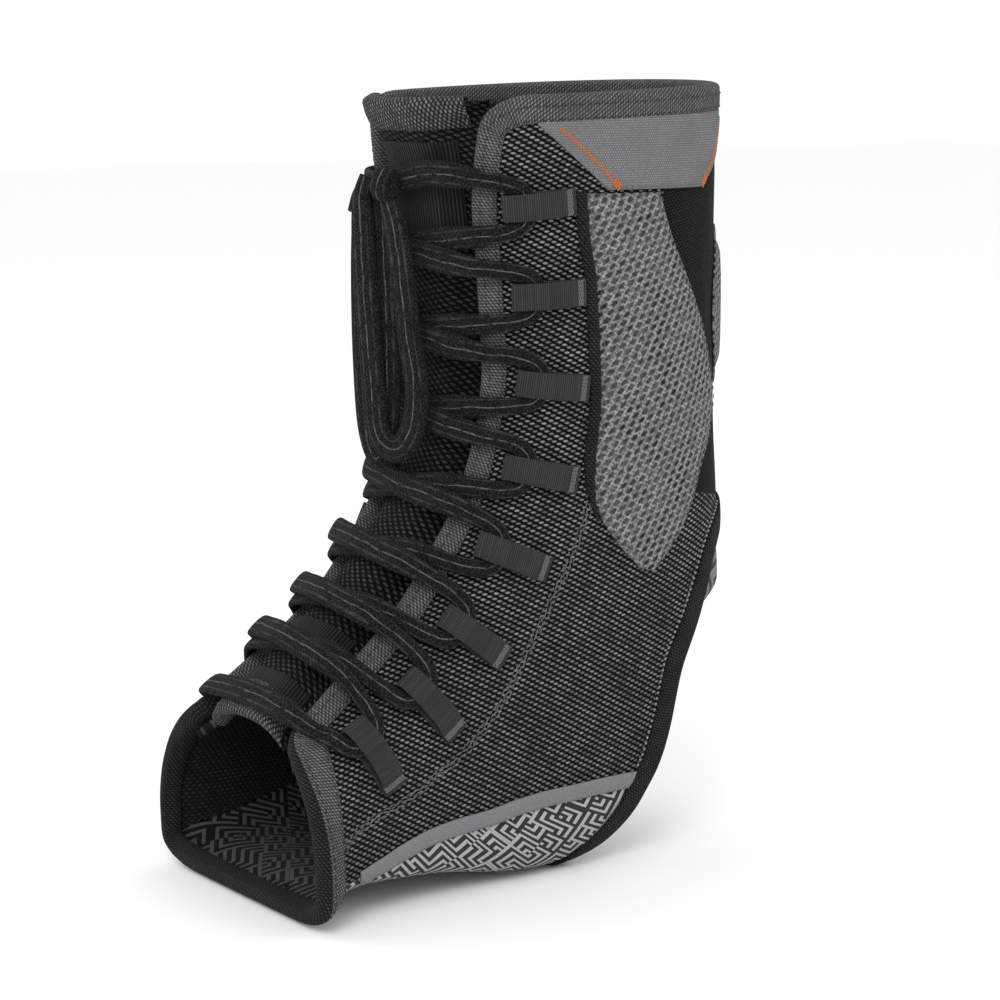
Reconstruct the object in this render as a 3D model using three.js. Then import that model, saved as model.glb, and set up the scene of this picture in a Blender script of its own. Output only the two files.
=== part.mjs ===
// Lace-up ankle brace with an open heel, a padded tongue and webbing lace loops.
// Millimetres. X is the width, the toes point to -Y and Z is up. The sole stands on z = 0.
import * as THREE from 'three';

// Driving sizes
const HEIGHT = 228;
const TOE_REACH = 118.5;
const LEG_HALF_WIDTH = 43;
const QUARTER_THICK = 3;
const TONGUE_THICK = 2.4;
const TONGUE_HEM = 8;
const SOLE_THICK = 2;
const CLEARANCE = 0.3;
const BINDING_THICK = 0.9;
const BINDING_LEG = 6.2;
const COLLAR_LEG = 6.4;
const TOE_LEG = 8.2;
const HEEL_LEG = 7;
const INNER_LEG = 5;
const WEBBING_WIDTH = 7.6;
const WEBBING_THICK = 0.8;
const LACE_WIDTH = 7.4;
const LACE_THICK = 2.3;
const LACE_GATHERED = 5;
const LACE_LIFT = 2.8;
const TURN_RADIUS = 7.1;
const TAPE_WIDTH = 4.8;
const JOINT_GAP = 0.6;
const PAD_THICK = 1.5;
const TAB_THICK = 0.8;
const FLOOR_LIFT = BINDING_THICK + CLEARANCE;

// Sections of the foot form from the collar (row 0) to the toe opening (row 10).
// frontY and backY are shares of TOE_REACH, frontZ and backZ of HEIGHT, half of LEG_HALF_WIDTH.
// widest is where the section is widest, from front to back. roundFront and roundBack are exponents.
const SECTIONS = [
  { frontY: -0.557, frontZ: 0.988, backY: 0.338, backZ: 1.006, half: 1.0, widest: 0.5, roundFront: 2.2, roundBack: 2.2 },
  { frontY: -0.515, frontZ: 0.855, backY: 0.338, backZ: 0.846, half: 0.977, widest: 0.5, roundFront: 2.2, roundBack: 2.2 },
  { frontY: -0.489, frontZ: 0.711, backY: 0.338, backZ: 0.689, half: 0.953, widest: 0.5, roundFront: 2.2, roundBack: 2.2 },
  { frontY: -0.481, frontZ: 0.596, backY: 0.346, backZ: 0.535, half: 0.93, widest: 0.5, roundFront: 2.2, roundBack: 2.3 },
  { frontY: -0.523, frontZ: 0.509, backY: 0.354, backZ: 0.386, half: 0.907, widest: 0.5, roundFront: 2.2, roundBack: 2.5 },
  { frontY: -0.616, frontZ: 0.443, backY: 0.304, backZ: 0.219, half: 0.884, widest: 0.5, roundFront: 2.2, roundBack: 2.9 },
  { frontY: -0.717, frontZ: 0.386, backY: 0.169, backZ: 0.057, half: 0.872, widest: 0.52, roundFront: 2.2, roundBack: 3.4 },
  { frontY: -0.819, frontZ: 0.338, backY: -0.219, backZ: -0.0044, half: 0.872, widest: 0.58, roundFront: 2.2, roundBack: 4.0 },
  { frontY: -0.903, frontZ: 0.298, backY: -0.608, backZ: 0.0197, half: 0.895, widest: 0.66, roundFront: 2.2, roundBack: 4.2 },
  { frontY: -0.97, frontZ: 0.263, backY: -0.869, backZ: 0.0263, half: 0.953, widest: 0.7, roundFront: 2.15, roundBack: 4.4 },
  { frontY: -1.0, frontZ: 0.248, backY: -0.987, backZ: 0.0035, half: 1.081, widest: 0.72, roundFront: 2.1, roundBack: 4.5 },
];
const LAST = SECTIONS.length - 1;

// Front edge of the side panel: degrees from the front centre line at each section position.
const FRONT_EDGE = [
  { row: 0.04, deg: 53 },
  { row: 0.1, deg: 46.5 },
  { row: 0.22, deg: 41 },
  { row: 0.4, deg: 38.5 },
  { row: 0.7, deg: 36 },
  { row: 1.05, deg: 34 },
  { row: 2.4, deg: 34.5 },
  { row: 3.0, deg: 32.5 },
  { row: 4.0, deg: 31 },
  { row: 4.7, deg: 32 },
  { row: 5.8, deg: 33 },
  { row: 6.9, deg: 34 },
  { row: 8.3, deg: 36 },
  { row: 9.2, deg: 36.5 },
  { row: 9.7, deg: 38 },
  { row: 9.88, deg: 41.5 },
  { row: 9.96, deg: 46 },
  { row: 10, deg: 52 },
];

// Edge of the heel opening, from its top at the back down to the joint with the sole.
const HEEL_EDGE = [
  { row: 3.62, deg: 180 },
  { row: 3.66, deg: 166 },
  { row: 3.73, deg: 153 },
  { row: 3.83, deg: 143 },
  { row: 3.98, deg: 135.5 },
  { row: 4.2, deg: 131 },
  { row: 4.6, deg: 126.5 },
  { row: 5.1, deg: 122.5 },
  { row: 5.6, deg: 123 },
  { row: 6.05, deg: 125.5 },
];

// The same edge where it runs under the heel end of the sole.
const SOLE_REAR = [
  { row: 6.05, deg: 125.5 },
  { row: 6.3, deg: 129.5 },
  { row: 6.58, deg: 136 },
  { row: 6.83, deg: 145 },
  { row: 7.0, deg: 157 },
  { row: 7.09, deg: 169 },
  { row: 7.12, deg: 180 },
];

// Joint between the side panel and the sole, under the middle of the grey tape.
const SOLE_JOINT = [
  { row: 6.05, deg: 125.5 },
  { row: 6.12, deg: 121.5 },
  { row: 6.3, deg: 116 },
  { row: 6.55, deg: 110.5 },
  { row: 6.8, deg: 106 },
  { row: 7.1, deg: 103 },
  { row: 7.5, deg: 102.5 },
  { row: 7.9, deg: 105 },
  { row: 8.3, deg: 110.5 },
  { row: 8.6, deg: 116.5 },
  { row: 9.0, deg: 121.5 },
  { row: 10, deg: 124 },
];

// Grey air mesh pad on the side: its front and rear edge.
const SIDE_PAD = [
  { row: 0.86, front: 71.5, rear: 99.5 },
  { row: 1.2, front: 72, rear: 104.5 },
  { row: 1.6, front: 74, rear: 114 },
  { row: 2.0, front: 75, rear: 124 },
  { row: 2.3, front: 75, rear: 130 },
  { row: 2.6, front: 75, rear: 134 },
  { row: 2.9, front: 74, rear: 129.5 },
  { row: 3.3, front: 74, rear: 121 },
  { row: 3.7, front: 75, rear: 115 },
  { row: 3.95, front: 78.5, rear: 111 },
  { row: 4.2, front: 87, rear: 106 },
  { row: 4.38, front: 97, rear: 102.5 },
];

// Elastic tab under the collar: its front and rear edge.
const PAD_TAB = [
  { row: 0.2, front: 55.5, rear: 146 },
  { row: 0.31, front: 59.5, rear: 145.5 },
  { row: 0.57, front: 69, rear: 137.5 },
  { row: 0.83, front: 79, rear: 122 },
];

// Webbing loops: the front fold and the sewn rear end of each.
const LOOPS = [
  { frontRow: 0.98, frontDeg: 44, rearRow: 0.92, rearDeg: 68 },
  { frontRow: 1.72, frontDeg: 45.5, rearRow: 1.67, rearDeg: 70.5 },
  { frontRow: 2.53, frontDeg: 46, rearRow: 2.55, rearDeg: 71 },
  { frontRow: 3.55, frontDeg: 43.5, rearRow: 3.58, rearDeg: 69 },
  { frontRow: 4.7, frontDeg: 44, rearRow: 4.72, rearDeg: 67.5 },
  { frontRow: 5.81, frontDeg: 45, rearRow: 5.89, rearDeg: 66 },
  { frontRow: 6.86, frontDeg: 48, rearRow: 6.94, rearDeg: 70.5 },
  { frontRow: 8.11, frontDeg: 49.5, rearRow: 8.05, rearDeg: 77 },
];

// Knot over the middle of the lacing. The bow hangs from it in a plane turned towards +X.
const KNOT = { row: 0.77, deg: 3, lift: 7.6, halfWide: 4.6, halfThick: 3, halfTall: 4.2 };
const BOW_TURN = 20;

// Free laces, chosen by hand: right, out and up from the knot's centre and the lace's width there
const BOW_FRONT = [
  { right: 1.6, out: 0.4, up: -4.6, width: 5 },
  { right: 3.2, out: 0.6, up: -9.2, width: 7.6 },
  { right: 5, out: 0.8, up: -16.5, width: 8 },
  { right: 6.7, out: 0.8, up: -27, width: 8 },
  { right: 9, out: 0.7, up: -44, width: 8 },
  { right: 10.9, out: 0.6, up: -55, width: 8 },
  { right: 11, out: 0.6, up: -62, width: 8 },
  { right: 9.6, out: 0.6, up: -69, width: 8 },
  { right: 6.3, out: 0.6, up: -74, width: 8 },
  { right: 2.6, out: 0.7, up: -75.2, width: 8 },
  { right: -0.9, out: 0.8, up: -73.2, width: 8 },
  { right: -3, out: 0.9, up: -68.6, width: 8 },
  { right: -3.7, out: 1, up: -61, width: 8 },
  { right: -4.9, out: 1, up: -47, width: 8 },
  { right: -6.4, out: 0.9, up: -31, width: 8 },
  { right: -7.4, out: 0.8, up: -16.7, width: 8 },
  { right: -7.9, out: 0.7, up: -8, width: 7 },
  { right: -7.9, out: 0.6, up: -2.5, width: 5.4 },
  { right: -6.4, out: 0.4, up: 2.2, width: 4.4 },
];
const BOW_REAR = [
  { right: -2.2, out: -2.2, up: -4.6, width: 5 },
  { right: -1.9, out: -2.5, up: -10, width: 7.4 },
  { right: -1.9, out: -2.8, up: -26, width: 8 },
  { right: -1.3, out: -2.9, up: -42, width: 8 },
  { right: -1, out: -2.7, up: -57, width: 7.8 },
  { right: -1.2, out: -2.4, up: -68, width: 7.2 },
  { right: -2.3, out: -2.2, up: -75.5, width: 6.2 },
  { right: -4.9, out: -2.1, up: -79, width: 5.8 },
  { right: -7.4, out: -2.2, up: -75.5, width: 6.2 },
  { right: -9.1, out: -2.4, up: -67, width: 7.2 },
  { right: -10.2, out: -2.7, up: -50, width: 7.8 },
  { right: -10.8, out: -3.1, up: -35, width: 8 },
  { right: -11, out: -3.3, up: -20.8, width: 7.8 },
  { right: -10.6, out: -3, up: -10.7, width: 6.8 },
  { right: -8.8, out: -2.6, up: -4.6, width: 5.4 },
  { right: -6, out: -2.2, up: -2, width: 4.4 },
];
const LACE_END = [
  { right: -4.6, out: -3.4, up: 1.4, width: 4.4 },
  { right: -8.2, out: -5, up: 0.4, width: 5 },
  { right: -11.4, out: -5.6, up: -1.2, width: 5 },
  { right: -13.9, out: -5.6, up: -4, width: 4.6 },
  { right: -15.6, out: -5.4, up: -8.6, width: 4 },
];

const COLOURS = {
  mesh: 0x26272a,
  binding: 0x4a4b4d,
  grey: 0x808285,
  pad: 0x8d8f92,
  webbing: 0x2c2d2f,
  lace: 0x17181a,
  print: 0x8a8c8e,
};

// Small helpers
function clamp01(x) {
  return Math.min(1, Math.max(0, x));
}

function smooth(x) {
  const u = clamp01(x);
  return u * u * (3 - 2 * u);
}

function mix(a, b, u) {
  return a + (b - a) * u;
}

function lookUp(table, key, row) {
  if (row <= table[0].row) return table[0][key];
  for (let i = 1; i < table.length; i += 1) {
    const b = table[i];
    if (row <= b.row) {
      const a = table[i - 1];
      return mix(a[key], b[key], (row - a.row) / (b.row - a.row));
    }
  }
  return table[table.length - 1][key];
}

function spline(p0, p1, p2, p3, u) {
  const c1 = p2 - p0;
  const c2 = 2 * p0 - 5 * p1 + 4 * p2 - p3;
  const c3 = 3 * p1 - p0 - 3 * p2 + p3;
  return 0.5 * (2 * p1 + c1 * u + c2 * u * u + c3 * u * u * u);
}

function sectionValue(key, row) {
  const i = Math.min(LAST - 1, Math.max(0, Math.floor(row)));
  const p1 = SECTIONS[i][key];
  const p2 = SECTIONS[i + 1][key];
  const p0 = i > 0 ? SECTIONS[i - 1][key] : 2 * p1 - p2;
  const p3 = i < LAST - 1 ? SECTIONS[i + 2][key] : 2 * p2 - p1;
  return spline(p0, p1, p2, p3, row - i);
}

// Point on the outer face of the form
function formPoint(row, deg) {
  const angle = THREE.MathUtils.degToRad(deg);
  const c = Math.cos(angle);
  const s = Math.sin(angle);
  const power = sectionValue(c >= 0 ? 'roundFront' : 'roundBack', row);
  const reach = (Math.abs(s) ** power + Math.abs(c) ** power) ** (-1 / power);
  const widest = sectionValue('widest', row);
  const along = c >= 0 ? widest * (1 - c * reach) : widest - (1 - widest) * c * reach;
  const y = mix(sectionValue('frontY', row), sectionValue('backY', row), along) * TOE_REACH;
  const z = mix(sectionValue('frontZ', row), sectionValue('backZ', row), along) * HEIGHT;
  return new THREE.Vector3(s * reach * sectionValue('half', row) * LEG_HALF_WIDTH, y, z);
}

function slopes(row, deg) {
  const step = 0.01;
  const alongRow = formPoint(row + step, deg).sub(formPoint(row - step, deg)).divideScalar(2 * step);
  const turn = 0.25;
  const alongDeg = formPoint(row, deg + turn).sub(formPoint(row, deg - turn)).divideScalar(2 * turn);
  return { alongRow, alongDeg };
}

function formNormal(row, deg) {
  const { alongRow, alongDeg } = slopes(row, deg);
  return alongRow.cross(alongDeg).normalize();
}

// Point lifted off the form; the underside is pressed flat where the brace stands on it
function lifted(row, deg, lift) {
  const p = formPoint(row, deg).addScaledVector(formNormal(row, deg), lift);
  p.z = Math.max(p.z, FLOOR_LIFT - lift);
  return p;
}

// Walks over the form from (row, deg) by a length in the direction of a vector
function walk(row, deg, direction, length, steps = 3) {
  let r = row;
  let d = deg;
  for (let i = 0; i < steps; i += 1) {
    const { alongRow, alongDeg } = slopes(r, d);
    const a = alongRow.dot(alongRow);
    const b = alongRow.dot(alongDeg);
    const c = alongDeg.dot(alongDeg);
    const e = alongRow.dot(direction);
    const f = alongDeg.dot(direction);
    const scale = length / steps / (a * c - b * b);
    r += (e * c - f * b) * scale;
    d += (f * a - e * b) * scale;
  }
  return { row: r, deg: d };
}

// Mesh building
function meshFrom(name, points, faces, colour, roughness) {
  const geometry = new THREE.BufferGeometry();
  const flat = new Float32Array(points.length * 3);
  points.forEach((p, i) => p.toArray(flat, i * 3));
  geometry.setAttribute('position', new THREE.BufferAttribute(flat, 3));
  geometry.setIndex(faces.flat());
  geometry.computeVertexNormals();
  const material = new THREE.MeshStandardMaterial({ color: colour, roughness, metalness: 0 });
  const mesh = new THREE.Mesh(geometry, material);
  mesh.name = name;
  return mesh;
}

function mirrored(mesh, name) {
  const geometry = mesh.geometry.clone();
  const position = geometry.attributes.position;
  for (let i = 0; i < position.count; i += 1) {
    position.setX(i, -position.getX(i));
  }
  const index = geometry.index;
  for (let i = 0; i < index.count; i += 3) {
    const b = index.getX(i + 1);
    index.setX(i + 1, index.getX(i + 2));
    index.setX(i + 2, b);
  }
  geometry.computeVertexNormals();
  const copy = new THREE.Mesh(geometry, mesh.material.clone());
  copy.name = name;
  return copy;
}

function turnOut(mesh) {
  const position = mesh.geometry.attributes.position;
  const index = mesh.geometry.index;
  const a = new THREE.Vector3();
  const b = new THREE.Vector3();
  const c = new THREE.Vector3();
  let volume = 0;
  for (let i = 0; i < index.count; i += 3) {
    a.fromBufferAttribute(position, index.getX(i));
    b.fromBufferAttribute(position, index.getX(i + 1));
    c.fromBufferAttribute(position, index.getX(i + 2));
    volume += a.dot(b.cross(c));
  }
  if (volume < 0) {
    for (let i = 0; i < index.count; i += 3) {
      const second = index.getX(i + 1);
      index.setX(i + 1, index.getX(i + 2));
      index.setX(i + 2, second);
    }
    mesh.geometry.computeVertexNormals();
  }
  return mesh;
}

// Two triangles over a four-sided patch, cut along its shorter diagonal
function addPatch(faces, points, a, b, c, d) {
  const straight = points[a].distanceToSquared(points[c]);
  const other = points[b].distanceToSquared(points[d]);
  if (straight <= other * 1.0001) {
    faces.push([a, b, c]);
    faces.push([a, c, d]);
  } else {
    faces.push([a, b, d]);
    faces.push([b, c, d]);
  }
}

// Closed slab: rows by columns of places on the form, with a low and a high face
function slab(name, rows, columns, place, low, high, colour, roughness) {
  const points = [];
  const faces = [];
  const width = columns.length;
  for (const lift of [low, high]) {
    for (const u of rows) {
      for (const v of columns) {
        const at = place(u, v);
        points.push(lifted(at.row, at.deg, lift(u, v, at)));
      }
    }
  }
  const layer = rows.length * width;
  const id = (side, i, j) => side * layer + i * width + j;
  for (let i = 0; i < rows.length - 1; i += 1) {
    for (let j = 0; j < width - 1; j += 1) {
      addPatch(faces, points, id(0, i, j), id(0, i, j + 1), id(0, i + 1, j + 1), id(0, i + 1, j));
      addPatch(faces, points, id(1, i, j), id(1, i + 1, j), id(1, i + 1, j + 1), id(1, i, j + 1));
    }
  }
  const rim = [];
  for (let j = 0; j < width - 1; j += 1) rim.push([0, j]);
  for (let i = 0; i < rows.length - 1; i += 1) rim.push([i, width - 1]);
  for (let j = width - 1; j > 0; j -= 1) rim.push([rows.length - 1, j]);
  for (let i = rows.length - 1; i > 0; i -= 1) rim.push([i, 0]);
  rim.forEach(([i, j], k) => {
    const [m, n] = rim[(k + 1) % rim.length];
    faces.push([id(0, i, j), id(1, m, n), id(0, m, n)]);
    faces.push([id(0, i, j), id(1, i, j), id(1, m, n)]);
  });
  return turnOut(meshFrom(name, points, faces, colour, roughness));
}

// Closed tube through rings of equal count, open ended with caps or joined round
function ringTube(name, rings, joined, colour, roughness) {
  const points = rings.flat();
  const faces = [];
  const n = rings[0].length;
  const spans = joined ? rings.length : rings.length - 1;
  for (let i = 0; i < spans; i += 1) {
    const a = i * n;
    const b = ((i + 1) % rings.length) * n;
    for (let j = 0; j < n; j += 1) {
      const k = (j + 1) % n;
      addPatch(faces, points, a + j, b + j, b + k, a + k);
    }
  }
  if (!joined) {
    const shape = rings[0].outline;
    const caps = THREE.ShapeUtils.triangulateShape(shape, []);
    const end = (rings.length - 1) * n;
    for (const [a, b, c] of caps) {
      faces.push([a, b, c]);
      faces.push([end + a, end + c, end + b]);
    }
  }
  return turnOut(meshFrom(name, points, faces, colour, roughness));
}

// Folded binding over an edge: path of places, the thickness it holds and the length of its legs
function bindingRings(path, thick, outerLeg, innerLeg, joined, bends = 1, gap = CLEARANCE) {
  const rings = [];
  const roll = 1.3;
  const count = path.length;
  path.forEach((at, i) => {
    const before = joined ? path[(i + count - 1) % count] : path[Math.max(0, i - 1)];
    const after = joined ? path[(i + 1) % count] : path[Math.min(count - 1, i + 1)];
    const normal = formNormal(at.row, at.deg);
    const tangent = formPoint(after.row, after.deg).sub(formPoint(before.row, before.deg)).normalize();
    const outward = tangent.cross(normal).normalize();
    const inward = outward.clone().negate();
    const outer = outerLeg(i, at);
    const inner = innerLeg(i, at);
    const top = CLEARANCE + BINDING_THICK;
    const profile = [];
    for (let k = 1; k <= bends; k += 1) profile.push([(outer * k) / bends, gap]);
    for (let k = bends; k >= 1; k -= 1) profile.push([(outer * k) / bends, top]);
    profile.push([-roll, top - 0.5]);
    profile.push([-roll, -thick - top + 0.5]);
    profile.push([inner, -thick - top]);
    profile.push([inner, -thick - CLEARANCE]);
    profile.push([-0.4, -thick - CLEARANCE]);
    profile.push([-0.4, gap]);
    const ring = profile.map(([depth, lift]) => {
      if (depth <= 0) {
        const p = formPoint(at.row, at.deg).addScaledVector(normal, lift);
        p.addScaledVector(outward, -depth);
        p.z = Math.max(p.z, FLOOR_LIFT - lift);
        return p;
      }
      const to = walk(at.row, at.deg, inward, depth);
      return lifted(to.row, to.deg, lift);
    });
    ring.outline = profile.map(([x, y]) => new THREE.Vector2(x, y));
    rings.push(ring);
  });
  return rings;
}

// Rows at which the side panel and its front binding are cut
const PANEL_ROWS = [
  0.04, 0.1, 0.22, 0.4, 0.7, 1.1, 1.6, 2.1, 2.6, 3.1, 3.4, 3.62, 3.66, 3.73, 3.83, 3.98, 4.2,
  4.6, 5.1, 5.6, 6.05, 6.3, 6.6, 7.0, 7.5, 8.0, 8.4, 8.75, 9.2, 9.7, 9.88, 10,
];
const PANEL_COLUMNS = spread(0, 1, 12);
const COLLAR_ROW = PANEL_ROWS[0];

// Columns of the sole, half across: closer together round its corner
const SOLE_HALF = [0, 0.035, 0.07, 0.115, 0.18, 0.27, 0.385];
const SOLE_COLUMNS = [...SOLE_HALF, 0.5, ...SOLE_HALF.slice().reverse().map((v) => 1 - v)];

function spread(from, to, count) {
  return Array.from({ length: count + 1 }, (_, i) => mix(from, to, i / count));
}

function panelRear(row) {
  if (row <= HEEL_EDGE[0].row) return 179.9;
  if (row <= 6.05) return Math.min(179.9, lookUp(HEEL_EDGE, 'deg', row));
  return lookUp(SOLE_JOINT, 'deg', row) - JOINT_GAP;
}

function panelDeg(row, v) {
  return mix(lookUp(FRONT_EDGE, 'deg', row), panelRear(row), v);
}

function makeQuarter() {
  const place = (u, v) => ({ row: u, deg: panelDeg(u, v) });
  return slab('quarter_near', PANEL_ROWS, PANEL_COLUMNS, place, () => -QUARTER_THICK, () => 0, COLOURS.mesh, 0.9);
}

const TOE_START = 8.75;

function makeCollarBinding() {
  const collar = PANEL_COLUMNS.slice(1).reverse();
  const path = collar.map((v) => ({ row: COLLAR_ROW, deg: panelDeg(COLLAR_ROW, v) }));
  for (const row of PANEL_ROWS.filter((r) => r < TOE_START - 0.1)) {
    path.push({ row, deg: lookUp(FRONT_EDGE, 'deg', row) });
  }
  path.push({ row: TOE_START - 0.07, deg: lookUp(FRONT_EDGE, 'deg', TOE_START - 0.07) });
  const leg = (i, at) => mix(COLLAR_LEG, BINDING_LEG, smooth((at.row - 0.1) / 0.5));
  const rings = bindingRings(path, QUARTER_THICK, leg, () => INNER_LEG, false);
  return ringTube('edge_binding_near', rings, false, COLOURS.binding, 0.85);
}

function makeToeBinding() {
  const half = [{ row: TOE_START, deg: lookUp(FRONT_EDGE, 'deg', TOE_START) }];
  for (const row of PANEL_ROWS.filter((r) => r > TOE_START + 0.1)) {
    half.push({ row, deg: lookUp(FRONT_EDGE, 'deg', row) });
  }
  for (const v of PANEL_COLUMNS.slice(1, -1)) half.push({ row: LAST, deg: panelDeg(LAST, v) });
  const edge = lookUp(SOLE_JOINT, 'deg', LAST);
  for (const v of SOLE_HALF) half.push({ row: LAST, deg: mix(edge, 360 - edge, v) });
  const path = [...half, { row: LAST, deg: 180 }];
  for (const at of half.slice().reverse()) path.push({ row: at.row, deg: 360 - at.deg });
  const leg = (i, at) => mix(BINDING_LEG, TOE_LEG, smooth((at.row - 9.2) / 0.7));
  const rings = bindingRings(path, QUARTER_THICK, leg, () => INNER_LEG, false, 3, CLEARANCE + 0.15);
  return ringTube('toe_binding', rings, false, COLOURS.binding, 0.85);
}

function makeHeelBinding() {
  const half = HEEL_EDGE.slice(0, -1).map(({ row, deg }) => ({ row, deg }));
  for (const v of SOLE_HALF) half.push(soleRear(v));
  const path = [...half, soleRear(0.5)];
  for (const at of half.slice(1).reverse()) path.push({ row: at.row, deg: 360 - at.deg });
  const rings = bindingRings(path.reverse(), QUARTER_THICK, () => HEEL_LEG, () => INNER_LEG, true, 2, CLEARANCE + 0.15);
  return ringTube('heel_binding', rings, true, COLOURS.binding, 0.85);
}

// Sole: one printed stretch panel from joint to joint. Its rear edge follows the heel opening.
function soleRear(v) {
  const half = Math.min(v, 1 - v) * 2;
  const deg = mix(SOLE_REAR[0].deg + JOINT_GAP, 180, half ** 0.75);
  for (let i = 1; i < SOLE_REAR.length; i += 1) {
    const a = SOLE_REAR[i - 1];
    const b = SOLE_REAR[i];
    if (deg <= b.deg) {
      const row = mix(a.row, b.row, (deg - a.deg) / (b.deg - a.deg));
      return { row, deg: v > 0.5 ? 360 - deg : deg };
    }
  }
  return { row: SOLE_REAR[SOLE_REAR.length - 1].row, deg: 180 };
}

function soleDeg(row, v) {
  const edge = lookUp(SOLE_JOINT, 'deg', row) + JOINT_GAP;
  return mix(edge, 360 - edge, v);
}

function makeSole() {
  const place = (u, v) => {
    const rear = soleRear(v);
    const row = mix(rear.row, LAST, u);
    const shift = (rear.deg - soleDeg(rear.row, v)) * (1 - u) ** 4;
    return { row, deg: soleDeg(row, v) + shift };
  };
  const rows = [0, 0.06, 0.14, 0.26, 0.4, 0.54, 0.68, 0.8, 0.9, 0.97, 1];
  return slab('sole_panel', rows, SOLE_COLUMNS, place, () => -SOLE_THICK, () => 0, COLOURS.print, 0.9);
}

function makeTape() {
  const rows = [6.42, 6.55, 6.8, 7.1, 7.5, 7.9, 8.3, 8.5];
  const place = (u, v) => {
    const deg = lookUp(SOLE_JOINT, 'deg', u);
    const ahead = formPoint(u + 0.05, lookUp(SOLE_JOINT, 'deg', u + 0.05));
    const along = ahead.sub(formPoint(u - 0.05, lookUp(SOLE_JOINT, 'deg', u - 0.05))).normalize();
    const across = along.cross(formNormal(u, deg)).normalize();
    return walk(u, deg, across, (v - 0.5) * TAPE_WIDTH);
  };
  return slab('sole_tape_near', rows, [0, 0.5, 1], place, () => CLEARANCE, () => 0.9, COLOURS.grey, 0.7);
}

function makeSidePad() {
  const rows = [0.86, 1.0, 1.3, 1.7, 2.1, 2.6, 3.0, 3.4, 3.8, 4.1, 4.38];
  const place = (u, v) => ({ row: u, deg: mix(lookUp(SIDE_PAD, 'front', u), lookUp(SIDE_PAD, 'rear', u), v) });
  const high = (u, v) => {
    const side = smooth(Math.min(v, 1 - v) / 0.12);
    const end = smooth(Math.min(u - 0.86, 4.38 - u) / 0.2);
    return CLEARANCE + 0.5 + (PAD_THICK - 0.5) * side * end;
  };
  return slab('side_pad_near', rows, [0, 0.1, 0.24, 0.37, 0.5, 0.63, 0.76, 0.9, 1], place, () => CLEARANCE, high, COLOURS.pad, 0.95);
}

function makeTab() {
  const perRow = slopes(COLLAR_ROW, 90).alongRow.length();
  const top = COLLAR_ROW + (COLLAR_LEG + 2 * CLEARANCE) / perRow;
  const bottom = PAD_TAB[PAD_TAB.length - 1].row;
  const place = (u, v) => {
    const row = mix(top, bottom, u);
    return { row, deg: mix(lookUp(PAD_TAB, 'front', row), lookUp(PAD_TAB, 'rear', row), v) };
  };
  const high = () => CLEARANCE + TAB_THICK;
  return slab('pad_tab_near', spread(0, 1, 5), spread(0, 1, 20), place, () => CLEARANCE + 0.1, high, COLOURS.grey, 0.7);
}

function makeAchillesPad() {
  const rows = [1.17, 1.35, 1.65, 2.0, 2.34, 2.52];
  const place = (u, v) => {
    const reach = 41 - 13 * Math.abs((u - 1.85) / 0.68) ** 2.5;
    return { row: u, deg: 180 + mix(-reach, reach, v) };
  };
  const high = (u, v) => {
    const side = smooth(Math.min(v, 1 - v) / 0.25);
    const end = smooth(Math.min(u - 1.17, 2.52 - u) / 0.3);
    return CLEARANCE + 0.6 + 2.4 * side * end;
  };
  return slab('achilles_pad', rows, spread(0, 1, 10), place, () => CLEARANCE, high, COLOURS.pad, 0.95);
}

function makeBackSeam(name, from, to) {
  const place = (u, v) => ({ row: u, deg: mix(175, 185, v) });
  return slab(name, spread(from, to, 4), [0, 0.5, 1], place, () => CLEARANCE, () => 0.9, COLOURS.mesh, 0.9);
}

function makeHeelGusset() {
  const rows = [3.52, 3.7, 3.82, 3.94, 4.06, 4.2, 4.42, 4.66];
  const place = (u, v) => {
    const edge = Math.min(146, lookUp(HEEL_EDGE, 'deg', u)) - 2;
    return { row: u, deg: mix(edge, 360 - edge, v) };
  };
  const base = (u, v, at) => {
    const edge = lookUp(HEEL_EDGE, 'deg', u) + 4;
    const across = smooth((180 - Math.abs(at.deg - 180) - edge) / 20);
    return -5.2 + 7.0 * across * smooth((u - 3.78) / 0.4);
  };
  const low = (u, v, at) => base(u, v, at) - 1;
  return slab('heel_gusset', rows, spread(0, 1, 12), place, low, base, COLOURS.print, 0.9);
}

// Tongue
const TONGUE_DEG = 42;
const TONGUE_ROW = 0.04;
const TONGUE_COLUMNS = [-TONGUE_DEG, -38, -34, -30.5, -27, -19, -9.5, 0, 9.5, 19, 27, 30.5, 34, 38, TONGUE_DEG];

function tongueLift(row, deg) {
  const side = smooth((Math.abs(deg) - 14) / 15);
  const flare = 4.2 * smooth((0.6 - row) / 0.56);
  const free = smooth((lookUp(FRONT_EDGE, 'deg', row) - 7 - Math.abs(deg)) / 9);
  return mix(-2.4 + flare, -5.9 + 5 * free * smooth((0.5 - row) / 0.45), side);
}

function makeTongue() {
  const hem = TONGUE_HEM / slopes(TONGUE_ROW, 0).alongRow.length();
  const top = spread(TONGUE_ROW, TONGUE_ROW + hem, 4);
  const rows = [...top, 0.4, 0.6, 1.1, 1.8, 2.5, 3.2, 3.7, 4.2, 4.8, 5.5, 6.3, 7.1, 7.9, 8.6, 9.2, 9.65, 9.9];
  const place = (u, v) => ({ row: u, deg: v });
  const high = (u, v) => tongueLift(u, v);
  const low = (u, v) => tongueLift(u, v) - TONGUE_THICK;
  return slab('tongue', rows, TONGUE_COLUMNS, place, low, high, COLOURS.mesh, 0.9);
}

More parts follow.
